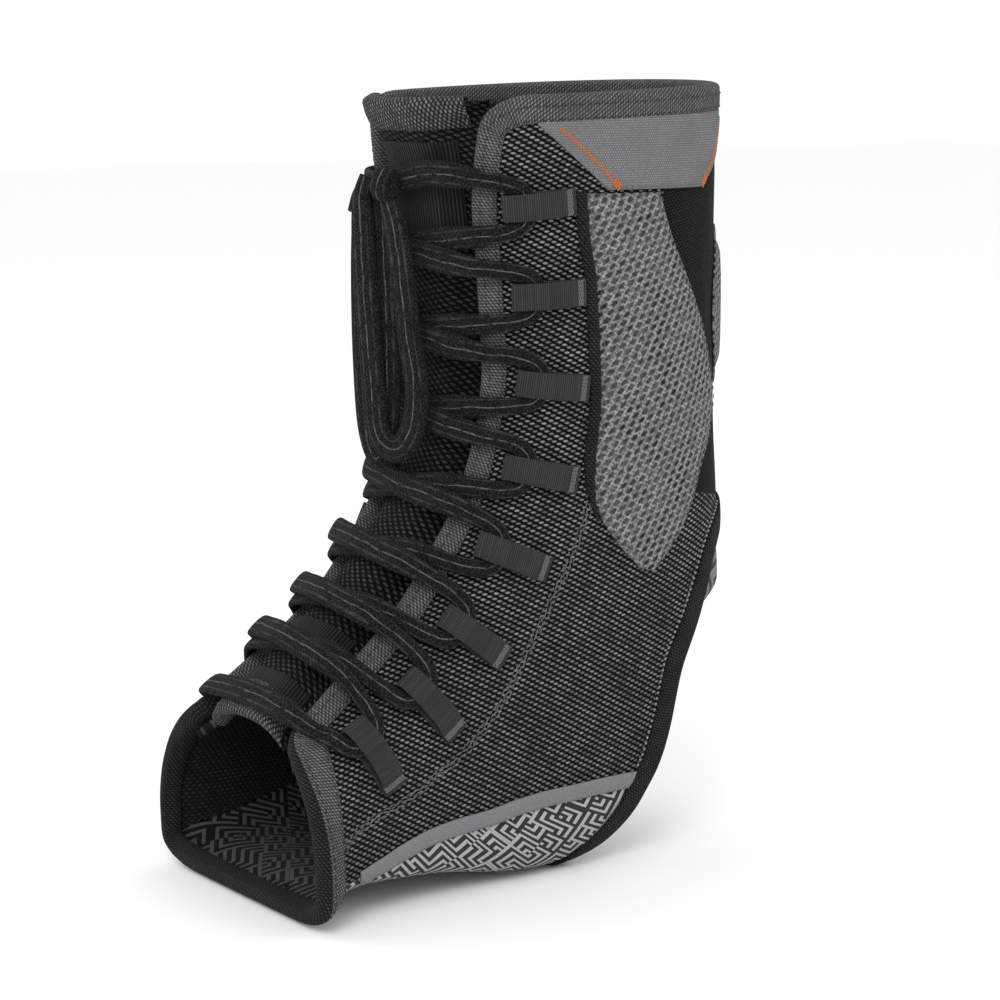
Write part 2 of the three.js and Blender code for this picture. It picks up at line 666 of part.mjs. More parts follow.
// Hem over the tongue's top edge, cut at the tongue's own columns because the tongue flares there
function makeTongueBinding() {
  const gap = CLEARANCE + 0.2;
  const top = gap + BINDING_THICK;
  const under = -TONGUE_THICK;
  const profile = [];
  for (let k = 1; k <= 4; k += 1) profile.push([(TONGUE_HEM * k) / 4, gap]);
  for (let k = 4; k >= 1; k -= 1) profile.push([(TONGUE_HEM * k) / 4, top]);
  profile.push([-1.5, top - 0.5]);
  profile.push([-1.5, under - top + 0.5]);
  for (let k = 1; k <= 3; k += 1) profile.push([(TONGUE_HEM * k) / 4, under - top]);
  for (let k = 3; k >= 1; k -= 1) profile.push([(TONGUE_HEM * k) / 4, under - gap]);
  profile.push([-0.8, under - gap]);
  profile.push([-0.8, gap]);
  const rings = TONGUE_COLUMNS.filter((deg) => Math.abs(deg) <= 34).map((deg) => {
    const perRow = slopes(TONGUE_ROW, deg).alongRow.length();
    const ring = profile.map(([depth, lift]) => {
      const row = TONGUE_ROW + depth / perRow;
      return lifted(row, deg, lift + tongueLift(Math.max(row, TONGUE_ROW), deg));
    });
    ring.outline = profile.map(([x, y]) => new THREE.Vector2(x, y));
    return ring;
  });
  return ringTube('tongue_binding', rings, false, COLOURS.binding, 0.85);
}

function makeTonguePanel(name, from, to, reach) {
  const place = (u, v) => ({ row: u, deg: v });
  const low = (u, v) => tongueLift(u, v) + CLEARANCE;
  const high = (u, v) => tongueLift(u, v) + CLEARANCE + 0.5;
  const columns = TONGUE_COLUMNS.filter((deg) => Math.abs(deg) <= reach);
  return slab(name, spread(from, to, 3), columns, place, low, high, COLOURS.mesh, 0.8);
}

// Chart in millimetres over the form at a webbing loop: a runs to its rear end, b down the lacing
function loopChart(loop) {
  const front = formPoint(loop.frontRow, loop.frontDeg);
  const rear = formPoint(loop.rearRow, loop.rearDeg);
  const length = front.distanceTo(rear);
  const normal = formNormal(loop.frontRow, loop.frontDeg);
  const aAxis = rear.sub(front);
  aAxis.addScaledVector(normal, -aAxis.dot(normal)).normalize();
  const bAxis = aAxis.clone().cross(normal).normalize();
  if (bAxis.dot(slopes(loop.frontRow, loop.frontDeg).alongRow) < 0) bAxis.negate();
  const at = (a, b) => {
    const direction = aAxis.clone().multiplyScalar(a).addScaledVector(bAxis, b);
    const far = direction.length();
    if (far < 1e-9) return { row: loop.frontRow, deg: loop.frontDeg };
    return walk(loop.frontRow, loop.frontDeg, direction.normalize(), far, 5);
  };
  return { at, length };
}

function makeLoop(loop, name) {
  const { at, length } = loopChart(loop);
  const low = CLEARANCE;
  const crown = LACE_LIFT + LACE_THICK / 2 + 2 * CLEARANCE;
  const sewn = low + WEBBING_THICK + 0.15;
  const route = [
    [length, low],
    [length * 0.7, low],
    [length * 0.38, low],
    [1.2, low],
    [0.3, low + 0.9],
    [0.0, mix(low, crown, 0.55)],
    [0.5, crown - 0.6],
    [1.6, crown],
    [9.2, crown],
    [12.5, sewn],
    [length, sewn],
  ];
  const inner = route.map(([a, lift], i) => {
    if (i <= 2) return [a, lift + WEBBING_THICK];
    if (i === 3) return [1.5, low + WEBBING_THICK];
    if (i === 4) return [1.1, low + 1.2];
    if (i === 5) return [0.85, lift];
    if (i === 6) return [1.2, crown - 0.7];
    return [a, lift];
  });
  const outer = route.map(([a, lift], i) => (i >= 7 ? [a, lift + WEBBING_THICK] : [a, i === 6 ? crown + 0.25 : lift]));
  const rings = route.map((_, i) => {
    const ring = [];
    for (const [[a, lift], b] of [
      [outer[i], -1],
      [outer[i], 1],
      [inner[i], 1],
      [inner[i], -1],
    ]) {
      const to = at(a, (b * WEBBING_WIDTH) / 2);
      ring.push(lifted(to.row, to.deg, lift));
    }
    return ring;
  });
  rings[0].outline = [
    [-1, 0],
    [1, 0],
    [1, 1],
    [-1, 1],
  ].map(([x, y]) => new THREE.Vector2(x, y));
  return ringTube(name, rings, false, COLOURS.webbing, 0.7);
}

// Lace: stations of row, deg, lift and width along the whole laced route
function lowLift(deg) {
  return 0.5 + (LACE_LIFT - 0.5) * smooth((Math.abs(deg) - 12) / 19);
}

function highLift(deg) {
  return lowLift(deg) + (LACE_THICK + 0.4) * smooth((46 - Math.abs(deg)) / 9);
}

function turnStations(loop, side) {
  const { at } = loopChart(loop);
  const stations = [];
  for (const angle of [-90, -45, 0, 45, 90]) {
    const rad = THREE.MathUtils.degToRad(angle);
    const to = at(TURN_RADIUS * Math.cos(rad), TURN_RADIUS * Math.sin(rad));
    stations.push({ row: to.row, deg: to.deg * side, lift: LACE_LIFT, width: LACE_GATHERED });
  }
  return stations;
}

function crossing(from, to, over) {
  const stations = [];
  const steps = 9;
  for (let i = 1; i < steps; i += 1) {
    const u = i / steps;
    const deg = mix(from.deg, to.deg, u);
    const row = mix(from.row, to.row, u);
    const lift = over ? highLift(deg) : lowLift(deg);
    const gather = smooth((Math.abs(deg) - 30) / 8);
    stations.push({ row, deg, lift, width: mix(LACE_WIDTH, LACE_GATHERED, gather) });
  }
  return stations;
}

function laceStrand(firstSide) {
  const stations = [];
  let side = firstSide;
  LOOPS.forEach((loop, i) => {
    const turn = turnStations(loop, side);
    if (i > 0) {
      const over = (i % 2 === 0) === (firstSide > 0);
      stations.push(...crossing(stations[stations.length - 1], turn[0], over));
    }
    stations.push(...turn);
    side = -side;
  });
  return stations;
}

function laceRing(stations, i, sides) {
  const here = stations[i];
  const before = stations[Math.max(0, i - 1)];
  const after = stations[Math.min(stations.length - 1, i + 1)];
  const spot = (s) => lifted(s.row, s.deg, s.lift);
  const tangent = spot(after).sub(spot(before)).normalize();
  const normal = formNormal(here.row, here.deg);
  const sideways = tangent.clone().cross(normal).normalize();
  const up = sideways.clone().cross(tangent).normalize();
  const half = here.width / 2;
  const thick = LACE_THICK / 2;
  const shape = [];
  for (let k = 0; k < sides; k += 1) {
    const angle = (Math.PI * (2 * k + 1)) / sides;
    const grow = sides === 4 ? Math.SQRT2 : 1;
    shape.push(new THREE.Vector2(Math.cos(angle) * half * grow, Math.sin(angle) * thick * grow));
  }
  const ring = shape.map(({ x, y }) => spot(here).addScaledVector(sideways, x).addScaledVector(up, y));
  ring.outline = shape;
  return ring;
}

function laceTube(name, stations, sides) {
  const rings = stations.map((_, i) => laceRing(stations, i, sides));
  return ringTube(name, rings, false, COLOURS.lace, 0.85);
}

function makeLace() {
  const near = laceStrand(1);
  const far = laceStrand(-1);
  const nearEnd = near[near.length - 1];
  const farEnd = far[far.length - 1];
  const bar = [];
  const steps = 10;
  for (let i = 1; i < steps; i += 1) {
    const u = i / steps;
    const deg = mix(nearEnd.deg, farEnd.deg, u);
    const sag = Math.sin(Math.PI * u) ** 0.6;
    const gather = smooth((Math.abs(deg) - 30) / 8);
    const row = mix(nearEnd.row, farEnd.row, u) + 0.55 * sag;
    bar.push({ row, deg, lift: lowLift(deg), width: mix(LACE_WIDTH, LACE_GATHERED, gather) });
  }
  const knotSide = KNOT.deg;
  const start = { ...near[0] };
  const lead = [];
  for (let i = 0; i < 8; i += 1) {
    const deg = mix(knotSide - 1, start.deg, i / 8);
    const gather = smooth((Math.abs(deg) - 30) / 8);
    const row = mix(KNOT.row, start.row, i / 8) - 0.09 * Math.sin((Math.PI * i) / 8);
    lead.push({ row, deg, lift: lowLift(deg) + 1.2, width: mix(LACE_WIDTH, LACE_GATHERED, gather) });
  }
  const finish = { ...far[0] };
  const tail = [];
  for (let i = 1; i < 5; i += 1) {
    const deg = mix(finish.deg, knotSide - 5, i / 4);
    tail.push({ row: mix(finish.row, KNOT.row, i / 4), deg, lift: LACE_LIFT + 0.2, width: LACE_GATHERED });
  }
  const route = [...lead, ...near, ...bar, ...far.slice().reverse(), ...tail];
  return laceTube('lace', route, 4);
}

// Bow: flat laces whose broad side faces the way the bow is turned
function bowAxes() {
  const turn = THREE.MathUtils.degToRad(BOW_TURN);
  return {
    centre: lifted(KNOT.row, KNOT.deg, KNOT.lift),
    right: new THREE.Vector3(Math.cos(turn), Math.sin(turn), 0),
    out: new THREE.Vector3(Math.sin(turn), -Math.cos(turn), 0),
  };
}

function bowPoint(station) {
  const { centre, right, out } = bowAxes();
  const p = centre.clone().addScaledVector(right, station.right).addScaledVector(out, station.out);
  p.z += station.up;
  return p;
}

function smoothStations(table, count) {
  const stations = [];
  const spans = table.length - 1;
  for (let i = 0; i <= count; i += 1) {
    const t = (i / count) * spans;
    const k = Math.min(spans - 1, Math.floor(t));
    const station = {};
    for (const key of ['right', 'out', 'up', 'width']) {
      const p1 = table[k][key];
      const p2 = table[k + 1][key];
      const p0 = k > 0 ? table[k - 1][key] : 2 * p1 - p2;
      const p3 = k < spans - 1 ? table[k + 2][key] : 2 * p2 - p1;
      station[key] = spline(p0, p1, p2, p3, t - k);
    }
    stations.push(station);
  }
  return stations;
}

function makeBow(name, table, count) {
  const stations = smoothStations(table, count);
  const spots = stations.map(bowPoint);
  const { out } = bowAxes();
  const sides = 8;
  const rings = spots.map((spot, i) => {
    const tangent = spots[Math.min(count, i + 1)].clone().sub(spots[Math.max(0, i - 1)]).normalize();
    const sideways = tangent.clone().cross(out).normalize();
    const up = sideways.clone().cross(tangent).normalize();
    const half = stations[i].width / 2;
    const ring = [];
    const shape = [];
    for (let k = 0; k < sides; k += 1) {
      const angle = (Math.PI * (2 * k + 1)) / sides;
      const x = Math.cos(angle) * half;
      const y = (Math.sin(angle) * LACE_THICK) / 2;
      shape.push(new THREE.Vector2(x, y));
      ring.push(spot.clone().addScaledVector(sideways, x).addScaledVector(up, y));
    }
    ring.outline = shape;
    return ring;
  });
  return ringTube(name, rings, false, COLOURS.lace, 0.85);
}

function makeKnot() {
  const { centre, right, out } = bowAxes();
  const rings = [];
  for (const along of [-1, -0.85, -0.45, 0, 0.45, 0.85, 1]) {
    const size = Math.sqrt(Math.max(0.12, 1 - along * along));
    const ring = [];
    const shape = [];
    for (let i = 0; i < 10; i += 1) {
      const angle = (Math.PI * 2 * i) / 10;
      const p = centre.clone();
      p.z -= along * KNOT.halfTall;
      p.addScaledVector(right, Math.cos(angle) * KNOT.halfWide * size);
      p.addScaledVector(out, Math.sin(angle) * KNOT.halfThick * size);
      ring.push(p);
      shape.push(new THREE.Vector2(Math.cos(angle), Math.sin(angle)));
    }
    ring.outline = shape;
    rings.push(ring);
  }
  return ringTube('lace_knot', rings, false, COLOURS.lace, 0.85);
}

function buildBrace() {
  const group = new THREE.Group();
  group.name = 'ankle_brace';
  const paired = [makeQuarter(), makeCollarBinding(), makeTape(), makeSidePad(), makeTab()];
  LOOPS.forEach((loop, i) => paired.push(makeLoop(loop, `lace_loop_near_${i + 1}`)));
  for (const mesh of paired) {
    group.add(mesh);
    group.add(mirrored(mesh, mesh.name.replace('near', 'far')));
  }
  group.add(makeToeBinding());
  group.add(makeHeelBinding());
  group.add(makeSole());
  group.add(makeAchillesPad());
  group.add(makeBackSeam('back_seam_upper', 0.32, 1.12));
  group.add(makeBackSeam('back_seam_lower', 2.57, 3.3));
  group.add(makeHeelGusset());
  group.add(makeTongue());
  group.add(makeTongueBinding());
  group.add(makeTonguePanel('tongue_panel', 0.42, 1.3, 27));
  group.add(makeTonguePanel('tongue_elastic_upper', 6.75, 7.35, 27));
  group.add(makeTonguePanel('tongue_elastic_lower', 8.15, 8.7, 27));
  group.add(makeLace());
  group.add(makeKnot());
  group.add(makeBow('lace_bow_front', BOW_FRONT, 40));
  group.add(makeBow('lace_bow_rear', BOW_REAR, 34));
  group.add(makeBow('lace_end', LACE_END, 6));
  return group;
}

// Puts the brace over the origin: the free laces on top of it don't count
function centre(group) {
  const box = new THREE.Box3();
  for (const mesh of group.children) {
    if (!/knot|bow|lace_end/.test(mesh.name)) box.expandByObject(mesh);
  }
  const middle = box.getCenter(new THREE.Vector3());
  for (const mesh of group.children) mesh.geometry.translate(0, -middle.y, 0);
  return group;
}

const brace = centre(buildBrace());

export default brace;
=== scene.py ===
"""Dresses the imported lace-up ankle brace: woven panels, bindings, laces, pads and a printed sole."""
from __future__ import annotations

import logging
import math
from dataclasses import dataclass
from enum import Enum
from typing import Callable, Optional, Sequence

import bmesh
import bpy
import numpy as np
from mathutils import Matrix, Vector

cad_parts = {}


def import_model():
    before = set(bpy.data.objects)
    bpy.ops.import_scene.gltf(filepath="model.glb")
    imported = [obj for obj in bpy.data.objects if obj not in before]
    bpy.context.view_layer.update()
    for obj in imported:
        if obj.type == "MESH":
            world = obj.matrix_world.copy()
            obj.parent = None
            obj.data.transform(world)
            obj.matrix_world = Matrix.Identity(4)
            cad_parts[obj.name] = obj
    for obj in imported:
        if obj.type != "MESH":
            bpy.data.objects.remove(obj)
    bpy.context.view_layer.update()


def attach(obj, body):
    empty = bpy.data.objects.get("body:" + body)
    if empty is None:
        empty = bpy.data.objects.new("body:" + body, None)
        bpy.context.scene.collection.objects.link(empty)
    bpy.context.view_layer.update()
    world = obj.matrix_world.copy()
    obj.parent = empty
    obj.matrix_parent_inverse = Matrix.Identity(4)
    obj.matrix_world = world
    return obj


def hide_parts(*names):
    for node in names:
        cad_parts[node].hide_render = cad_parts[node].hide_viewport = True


LOG = logging.getLogger("ankle_brace")

MM = 0.001
BODY = "root"
CLOTH_MAP = "cloth"

# Driving sizes of the brace, in millimetres, as in the part's source
HEIGHT = 228.0
TOE_REACH = 118.5
LEG_HALF_WIDTH = 43.0
QUARTER_THICK = 3.0
TONGUE_THICK = 2.4
TONGUE_HEM = 8.0
SOLE_THICK = 2.0
CLEARANCE = 0.3
BINDING_THICK = 0.9
BINDING_LEG = 6.2
COLLAR_LEG = 6.4
TOE_LEG = 8.2
HEEL_LEG = 7.0
INNER_LEG = 5.0
WEBBING_WIDTH = 7.6
WEBBING_THICK = 0.8
LACE_WIDTH = 7.4
LACE_THICK = 2.3
LACE_GATHERED = 5.0
LACE_LIFT = 2.8
STRAND_LOW = 0.5
STRAND_GAP = 0.4
TURN_RADIUS = 7.1
TAPE_WIDTH = 4.8
PAD_THICK = 1.5
TAB_THICK = 0.8
FLOOR_LIFT = BINDING_THICK + CLEARANCE
MIDDLE_Y = -38.457

# Lifts of the stitches on the tapes, and how far the lower row lies from the tape's inner edge
SEWN_LIFT, SEWN_LOW = 1.4, 1.3
SEWN_BACK = 0.9

# Cloth, the same for every finish
SHEEN_ROUGHNESS = 0.5
SPECULAR = 0.06
BUMP_STRENGTH = 0.8
TUFT_EDGE = (0.55, 1.1)
# Heights in metres over which the painted shade near the floor fades out of the knit's tufts
SHADED_HEIGHTS = (0.03, 0.14)

Array = np.ndarray
Item = bpy.types.Object
Socket = bpy.types.NodeSocket
Place = tuple[Array, Array]


class Side(Enum):
    """The two sides of the brace: near is +X, the side that the photograph shows."""

    NEAR = 1
    FAR = -1

    @property
    def word(self) -> str:
        """Name of the side in piece names."""
        return self.name.lower()


@dataclass(frozen=True)
class Section:
    """One section of the foot form, as shares of the driving sizes."""

    front_y: float
    front_z: float
    back_y: float
    back_z: float
    half: float
    widest: float
    round_front: float
    round_back: float


SECTIONS = (
    Section(-0.557, 0.988, 0.338, 1.006, 1.0, 0.5, 2.2, 2.2),
    Section(-0.515, 0.855, 0.338, 0.846, 0.977, 0.5, 2.2, 2.2),
    Section(-0.489, 0.711, 0.338, 0.689, 0.953, 0.5, 2.2, 2.2),
    Section(-0.481, 0.596, 0.346, 0.535, 0.93, 0.5, 2.2, 2.3),
    Section(-0.523, 0.509, 0.354, 0.386, 0.907, 0.5, 2.2, 2.5),
    Section(-0.616, 0.443, 0.304, 0.219, 0.884, 0.5, 2.2, 2.9),
    Section(-0.717, 0.386, 0.169, 0.057, 0.872, 0.52, 2.2, 3.4),
    Section(-0.819, 0.338, -0.219, -0.0044, 0.872, 0.58, 2.2, 4.0),
    Section(-0.903, 0.298, -0.608, 0.0197, 0.895, 0.66, 2.2, 4.2),
    Section(-0.97, 0.263, -0.869, 0.0263, 0.953, 0.7, 2.15, 4.4),
    Section(-1.0, 0.248, -0.987, 0.0035, 1.081, 0.72, 2.1, 4.5),
)
LAST = len(SECTIONS) - 1

# Edges over the form: section position and degrees from the front centre line
COLLAR_ROW = 0.04
FRONT_EDGE = (
    (COLLAR_ROW, 53), (0.1, 46.5), (0.22, 41), (0.4, 38.5), (0.7, 36), (1.05, 34), (2.4, 34.5), (3.0, 32.5),
    (4.0, 31), (4.7, 32), (5.8, 33), (6.9, 34), (8.3, 36), (9.2, 36.5), (9.7, 38), (9.88, 41.5), (9.96, 46),
    (10, 52),
)
HEEL_EDGE = (
    (3.62, 180), (3.66, 166), (3.73, 153), (3.83, 143), (3.98, 135.5), (4.2, 131), (4.6, 126.5), (5.1, 122.5),
    (5.6, 123), (6.05, 125.5),
)
SOLE_REAR = ((6.05, 125.5), (6.3, 129.5), (6.58, 136), (6.83, 145), (7.0, 157), (7.09, 169), (7.12, 180))
SOLE_JOINT = (
    (6.05, 125.5), (6.12, 121.5), (6.3, 116), (6.55, 110.5), (6.8, 106), (7.1, 103), (7.5, 102.5), (7.9, 105),
    (8.3, 110.5), (8.6, 116.5), (9.0, 121.5), (10, 124),
)
PAD_FRONT = (
    (0.86, 71.5), (1.2, 72), (1.6, 74), (2.6, 75), (3.3, 74), (3.7, 75), (3.95, 78.5), (4.2, 87), (4.38, 97),
)
PAD_REAR = (
    (0.86, 99.5), (1.2, 104.5), (1.6, 114), (2.0, 124), (2.3, 130), (2.6, 134), (2.9, 129.5), (3.3, 121),
    (3.7, 115), (3.95, 111), (4.2, 106), (4.38, 102.5),
)
TAB_FRONT = ((0.2, 55.5), (0.31, 59.5), (0.57, 69), (0.83, 79))
TAB_REAR = ((0.2, 146), (0.31, 145.5), (0.57, 137.5), (0.83, 122))
SEAM_PATH = (
    (9.2, 88), (8.6, 84), (8.0, 82), (7.4, 77.5), (6.9, 75.5), (6.4, 73), (5.9, 71), (5.3, 71.5),
    (4.72, 72.5), (4.2, 73.5), (3.7, 74),
)
HEEL_TOP, HEEL_END = HEEL_EDGE[0][0], HEEL_EDGE[-1][0]
PAD_TOP, PAD_END = PAD_FRONT[0][0], PAD_FRONT[-1][0]
TAB_END = TAB_FRONT[-1][0]
ACHILLES_TOP, ACHILLES_END = 1.17, 2.52
GUSSET_TOP, GUSSET_END = 3.52, 4.66
TAPE_TOP, TAPE_END = 6.07, 8.95
TONGUE_END = 9.9
LACING_TAPE_END = 8.68
TOE_TAPE_TOP = 8.75
REAR_MESH_DEG, REAR_MESH_ROW = 101, 3.5
JOINT_OVERLAP = 0.02

# Lifts of the tongue's outer face in its middle and at its sides
TONGUE_MIDDLE, TONGUE_SIDE, TONGUE_FLARE = -2.4, -5.9, 4.2


@dataclass(frozen=True)
class LoopPlace:
    """Front fold and sewn rear end of one webbing loop."""

    front_row: float
    front_deg: float
    rear_row: float
    rear_deg: float


LOOPS = (
    LoopPlace(0.98, 44, 0.92, 68), LoopPlace(1.72, 45.5, 1.67, 70.5), LoopPlace(2.53, 46, 2.55, 71),
    LoopPlace(3.55, 43.5, 3.58, 69), LoopPlace(4.7, 44, 4.72, 67.5), LoopPlace(5.81, 45, 5.89, 66),
    LoopPlace(6.86, 48, 6.94, 70.5), LoopPlace(8.11, 49.5, 8.05, 77),
)

# Knot and free laces: right, out and up from the knot's centre and the lace's width there
KNOT_ROW, KNOT_DEG, KNOT_LIFT = 0.77, 3.0, 7.6
KNOT_HALF = (4.6, 3.0, 4.2)
BOW_TURN = 20.0
BOW_FRONT = (
    (1.6, 0.4, -4.6, 5), (3.2, 0.6, -9.2, 7.6), (5, 0.8, -16.5, 8), (6.7, 0.8, -27, 8), (9, 0.7, -44, 8),
    (10.9, 0.6, -55, 8), (11, 0.6, -62, 8), (9.6, 0.6, -69, 8), (6.3, 0.6, -74, 8), (2.6, 0.7, -75.2, 8),
    (-0.9, 0.8, -73.2, 8), (-3, 0.9, -68.6, 8), (-3.7, 1, -61, 8), (-4.9, 1, -47, 8), (-6.4, 0.9, -31, 8),
    (-7.4, 0.8, -16.7, 8), (-7.9, 0.7, -8, 7), (-7.9, 0.6, -2.5, 5.4), (-6.4, 0.4, 2.2, 4.4),
)
BOW_REAR = (
    (-2.5, -2.2, -4.6, 6.8), (-2.2, -2.5, -10, 8.2), (-1.9, -2.8, -26, 8), (-1.3, -2.9, -42, 8),
    (-1, -2.7, -57, 7.8),
    (-1.2, -2.4, -68, 7.2), (-2.3, -2.2, -75.5, 6.2), (-4.9, -2.1, -79, 5.8), (-7.4, -2.2, -75.5, 6.2),
    (-9.1, -2.4, -67, 7.2), (-10.2, -2.7, -50, 7.8), (-10.8, -3.1, -35, 8), (-11, -3.3, -20.8, 7.8),
    (-10.6, -3, -10.7, 6.8), (-8.8, -2.6, -4.6, 5.4), (-6, -2.2, -2, 4.4),
)
LACE_END = (
    (-4.6, -3.4, 1.4, 4.4), (-8.2, -5, 0.4, 5), (-11.4, -5.6, -1.2, 5), (-13.9, -5.6, -4, 4.6),
    (-15.6, -5.4, -8.6, 4),
)


def smooth(x: Array) -> Array:
    """Smooth step from 0 to 1."""
    u = np.clip(x, 0.0, 1.0)
    return u * u * (3 - 2 * u)


def mix(a: Array, b: Array, u: Array) -> Array:
    """Straight blend from a to b."""
    return a + (b - a) * u


def look_up(table: Sequence[tuple[float, float]], row: Array) -> Array:
    """Value of an edge table at a section position, on a smooth curve through its points."""
    xs = np.array([x for x, _ in table], float)
    ys = np.array([y for _, y in table], float)
    rate = np.diff(ys) / np.diff(xs)
    slope = np.concatenate([rate[:1], np.where(rate[:-1] * rate[1:] > 0, 2 * rate[:-1] * rate[1:] / (
        rate[:-1] + rate[1:] + 1e-12), 0.0), rate[-1:]])
    x = np.clip(np.asarray(row, float), xs[0], xs[-1])
    i = np.clip(np.searchsorted(xs, x, side="right") - 1, 0, len(xs) - 2)
    h = xs[i + 1] - xs[i]
    t = (x - xs[i]) / h
    a = (2 * t - 3) * t * t + 1
    b = ((t - 2) * t + 1) * t
    c = (3 - 2 * t) * t * t
    d = (t - 1) * t * t
    return a * ys[i] + b * h * slope[i] + c * ys[i + 1] + d * h * slope[i + 1]


def catmull(p0: Array, p1: Array, p2: Array, p3: Array, u: Array) -> Array:
    """Catmull-Rom curve between p1 and p2."""
    return 0.5 * (2 * p1 + (p2 - p0) * u + (2 * p0 - 5 * p1 + 4 * p2 - p3) * u**2
                  + (3 * p1 - p0 - 3 * p2 + p3) * u**3)


def spline_points(points: Array, count: int, joined: bool = False) -> Array:
    """Even run of points on a Catmull-Rom curve.

    Args:
        points: Control points, one in each row.
        count: Number of points wanted.
        joined: Whether the curve closes on itself.

    Returns:
        count points, one in each row.
    """
    p = np.asarray(points, float)
    n = len(p)
    spans = n if joined else n - 1
    t = np.linspace(0, spans, count, endpoint=not joined)
    k = np.clip(np.floor(t).astype(int), 0, spans - 1)
    u = (t - k)[:, None]
    if joined:
        p0, p1, p2, p3 = p[(k - 1) % n], p[k % n], p[(k + 1) % n], p[(k + 2) % n]
    else:
        p1, p2 = p[k], p[k + 1]
        p0 = np.where((k > 0)[:, None], p[np.maximum(k - 1, 0)], 2 * p1 - p2)
        p3 = np.where((k < spans - 1)[:, None], p[np.minimum(k + 2, n - 1)], 2 * p2 - p1)
    return catmull(p0, p1, p2, p3, u)


class FootForm:
    """The form that every panel follows, in millimetres, with the toes to -Y."""

    def __init__(self) -> None:
        """Turns the section shares into lengths."""
        sizes = {"front_y": TOE_REACH, "back_y": TOE_REACH, "front_z": HEIGHT, "back_z": HEIGHT,
                 "half": LEG_HALF_WIDTH}
        self.columns = {
            key: np.array([getattr(s, key) * sizes.get(key, 1.0) for s in SECTIONS])
            for key in Section.__dataclass_fields__
        }

    def value(self, key: str, row: Array) -> Array:
        """One section value at a section position."""
        table = self.columns[key]
        i = np.clip(np.floor(row).astype(int), 0, LAST - 1)
        p1, p2 = table[i], table[i + 1]
        p0 = np.where(i > 0, table[np.maximum(i - 1, 0)], 2 * p1 - p2)
        p3 = np.where(i < LAST - 1, table[np.minimum(i + 2, LAST)], 2 * p2 - p1)
        return catmull(p0, p1, p2, p3, row - i)

    def point(self, row: Array, deg: Array) -> Array:
        """Points on the outer face of the form."""
        row, deg = np.broadcast_arrays(np.asarray(row, float), np.asarray(deg, float))
        c, s = np.cos(np.radians(deg)), np.sin(np.radians(deg))
        power = np.where(c >= 0, self.value("round_front", row), self.value("round_back", row))
        reach = (np.abs(s) ** power + np.abs(c) ** power) ** (-1 / power)
        widest = self.value("widest", row)
        along = np.where(c >= 0, widest * (1 - c * reach), widest - (1 - widest) * c * reach)
        y = mix(self.value("front_y", row), self.value("back_y", row), along)
        z = mix(self.value("front_z", row), self.value("back_z", row), along)
        return np.stack([s * reach * self.value("half", row), y, z], -1)

    def slopes(self, row: Array, deg: Array) -> tuple[Array, Array]:
        """Change of the form's point along its rows and round it."""
        along = (self.point(row + 0.01, deg) - self.point(row - 0.01, deg)) / 0.02
        turn = (self.point(row, deg + 0.25) - self.point(row, deg - 0.25)) / 0.5
        return along, turn

    def normal(self, row: Array, deg: Array) -> Array:
        """Outward unit normal of the form."""
        along, turn = self.slopes(row, deg)
        n = np.cross(along, turn)
        return n / np.linalg.norm(n, axis=-1, keepdims=True)

    def lifted(self, row: Array, deg: Array, lift: Array) -> Array:
        """Points lifted off the form; the underside is pressed flat where the brace stands."""
        lift = np.asarray(lift, float)
        p = self.point(row, deg) + self.normal(row, deg) * lift[..., None]
        p[..., 2] = np.maximum(p[..., 2], FLOOR_LIFT - lift)
        return p

    def walk(self, row: Array, deg: Array, direction: Array, length: Array, steps: int = 4) -> Place:
        """Place reached over the form by going a length in a direction."""
        r, d = np.array(row, float), np.array(deg, float)
        for _ in range(steps):
            along, turn = self.slopes(r, d)
            a = (along * along).sum(-1)
            b = (along * turn).sum(-1)
            c = (turn * turn).sum(-1)
            e = (along * direction).sum(-1)
            f = (turn * direction).sum(-1)
            scale = length / steps / (a * c - b * b)
            r, d = r + (e * c - f * b) * scale, d + (f * a - e * b) * scale
        return r, d

    def arc(self, row: Array, start: float, deg: Array) -> Array:
        """Signed length round the form from a start angle to deg."""
        steps = np.linspace(0, 1, 25)
        turn = start + (np.asarray(deg)[..., None] - start) * steps
        p = self.point(np.asarray(row)[..., None], turn)
        length = np.linalg.norm(np.diff(p, axis=-2), axis=-1).sum(-1)
        return length * np.sign(np.asarray(deg) - start)

    def side_cloth(self, row: Array, deg: Array) -> Array:
        """Cloth coordinates of a side panel, unrolled onto the plane through the leg and foot."""
        side = np.abs(deg)
        base = self.point(row, np.full_like(row, 90.0))
        dy = self.value("back_y", row) - self.value("front_y", row)
        dz = self.value("back_z", row) - self.value("front_z", row)
        size = np.hypot(dy, dz)
        s = self.arc(row, 90.0, side)
        return np.stack([base[..., 1] + dy / size * s, base[..., 2] + dz / size * s], -1) * MM

    def middle_cloth(self, row: Array, deg: Array, middle: float) -> Array:
        """Cloth coordinates of a panel over the centre line at the angle middle."""
        rows = np.linspace(-0.5, LAST + 0.5, 600)
        line = self.point(rows, np.full_like(rows, middle))
        run = run_along(line)
        return np.stack([self.arc(row, middle, deg), -np.interp(row, rows, run)], -1) * MM


FORM = FootForm()


def to_world(points: Array) -> Array:
    """Millimetres over the form to metres in the row frame."""
    return (np.asarray(points, float) - np.array([0.0, MIDDLE_Y, 0.0])) * MM


def form_path(rows: Array, degs: Array, lift: float) -> Array:
    """Path over the form in metres."""
    rows, degs = np.asarray(rows, float), np.asarray(degs, float)
    return to_world(FORM.lifted(rows, degs, np.full(rows.shape, lift)))


def run_along(points: Array) -> Array:
    """Length from the first point to each point of a path."""
    return np.concatenate([[0], np.cumsum(np.linalg.norm(np.diff(points, axis=0), axis=1))])


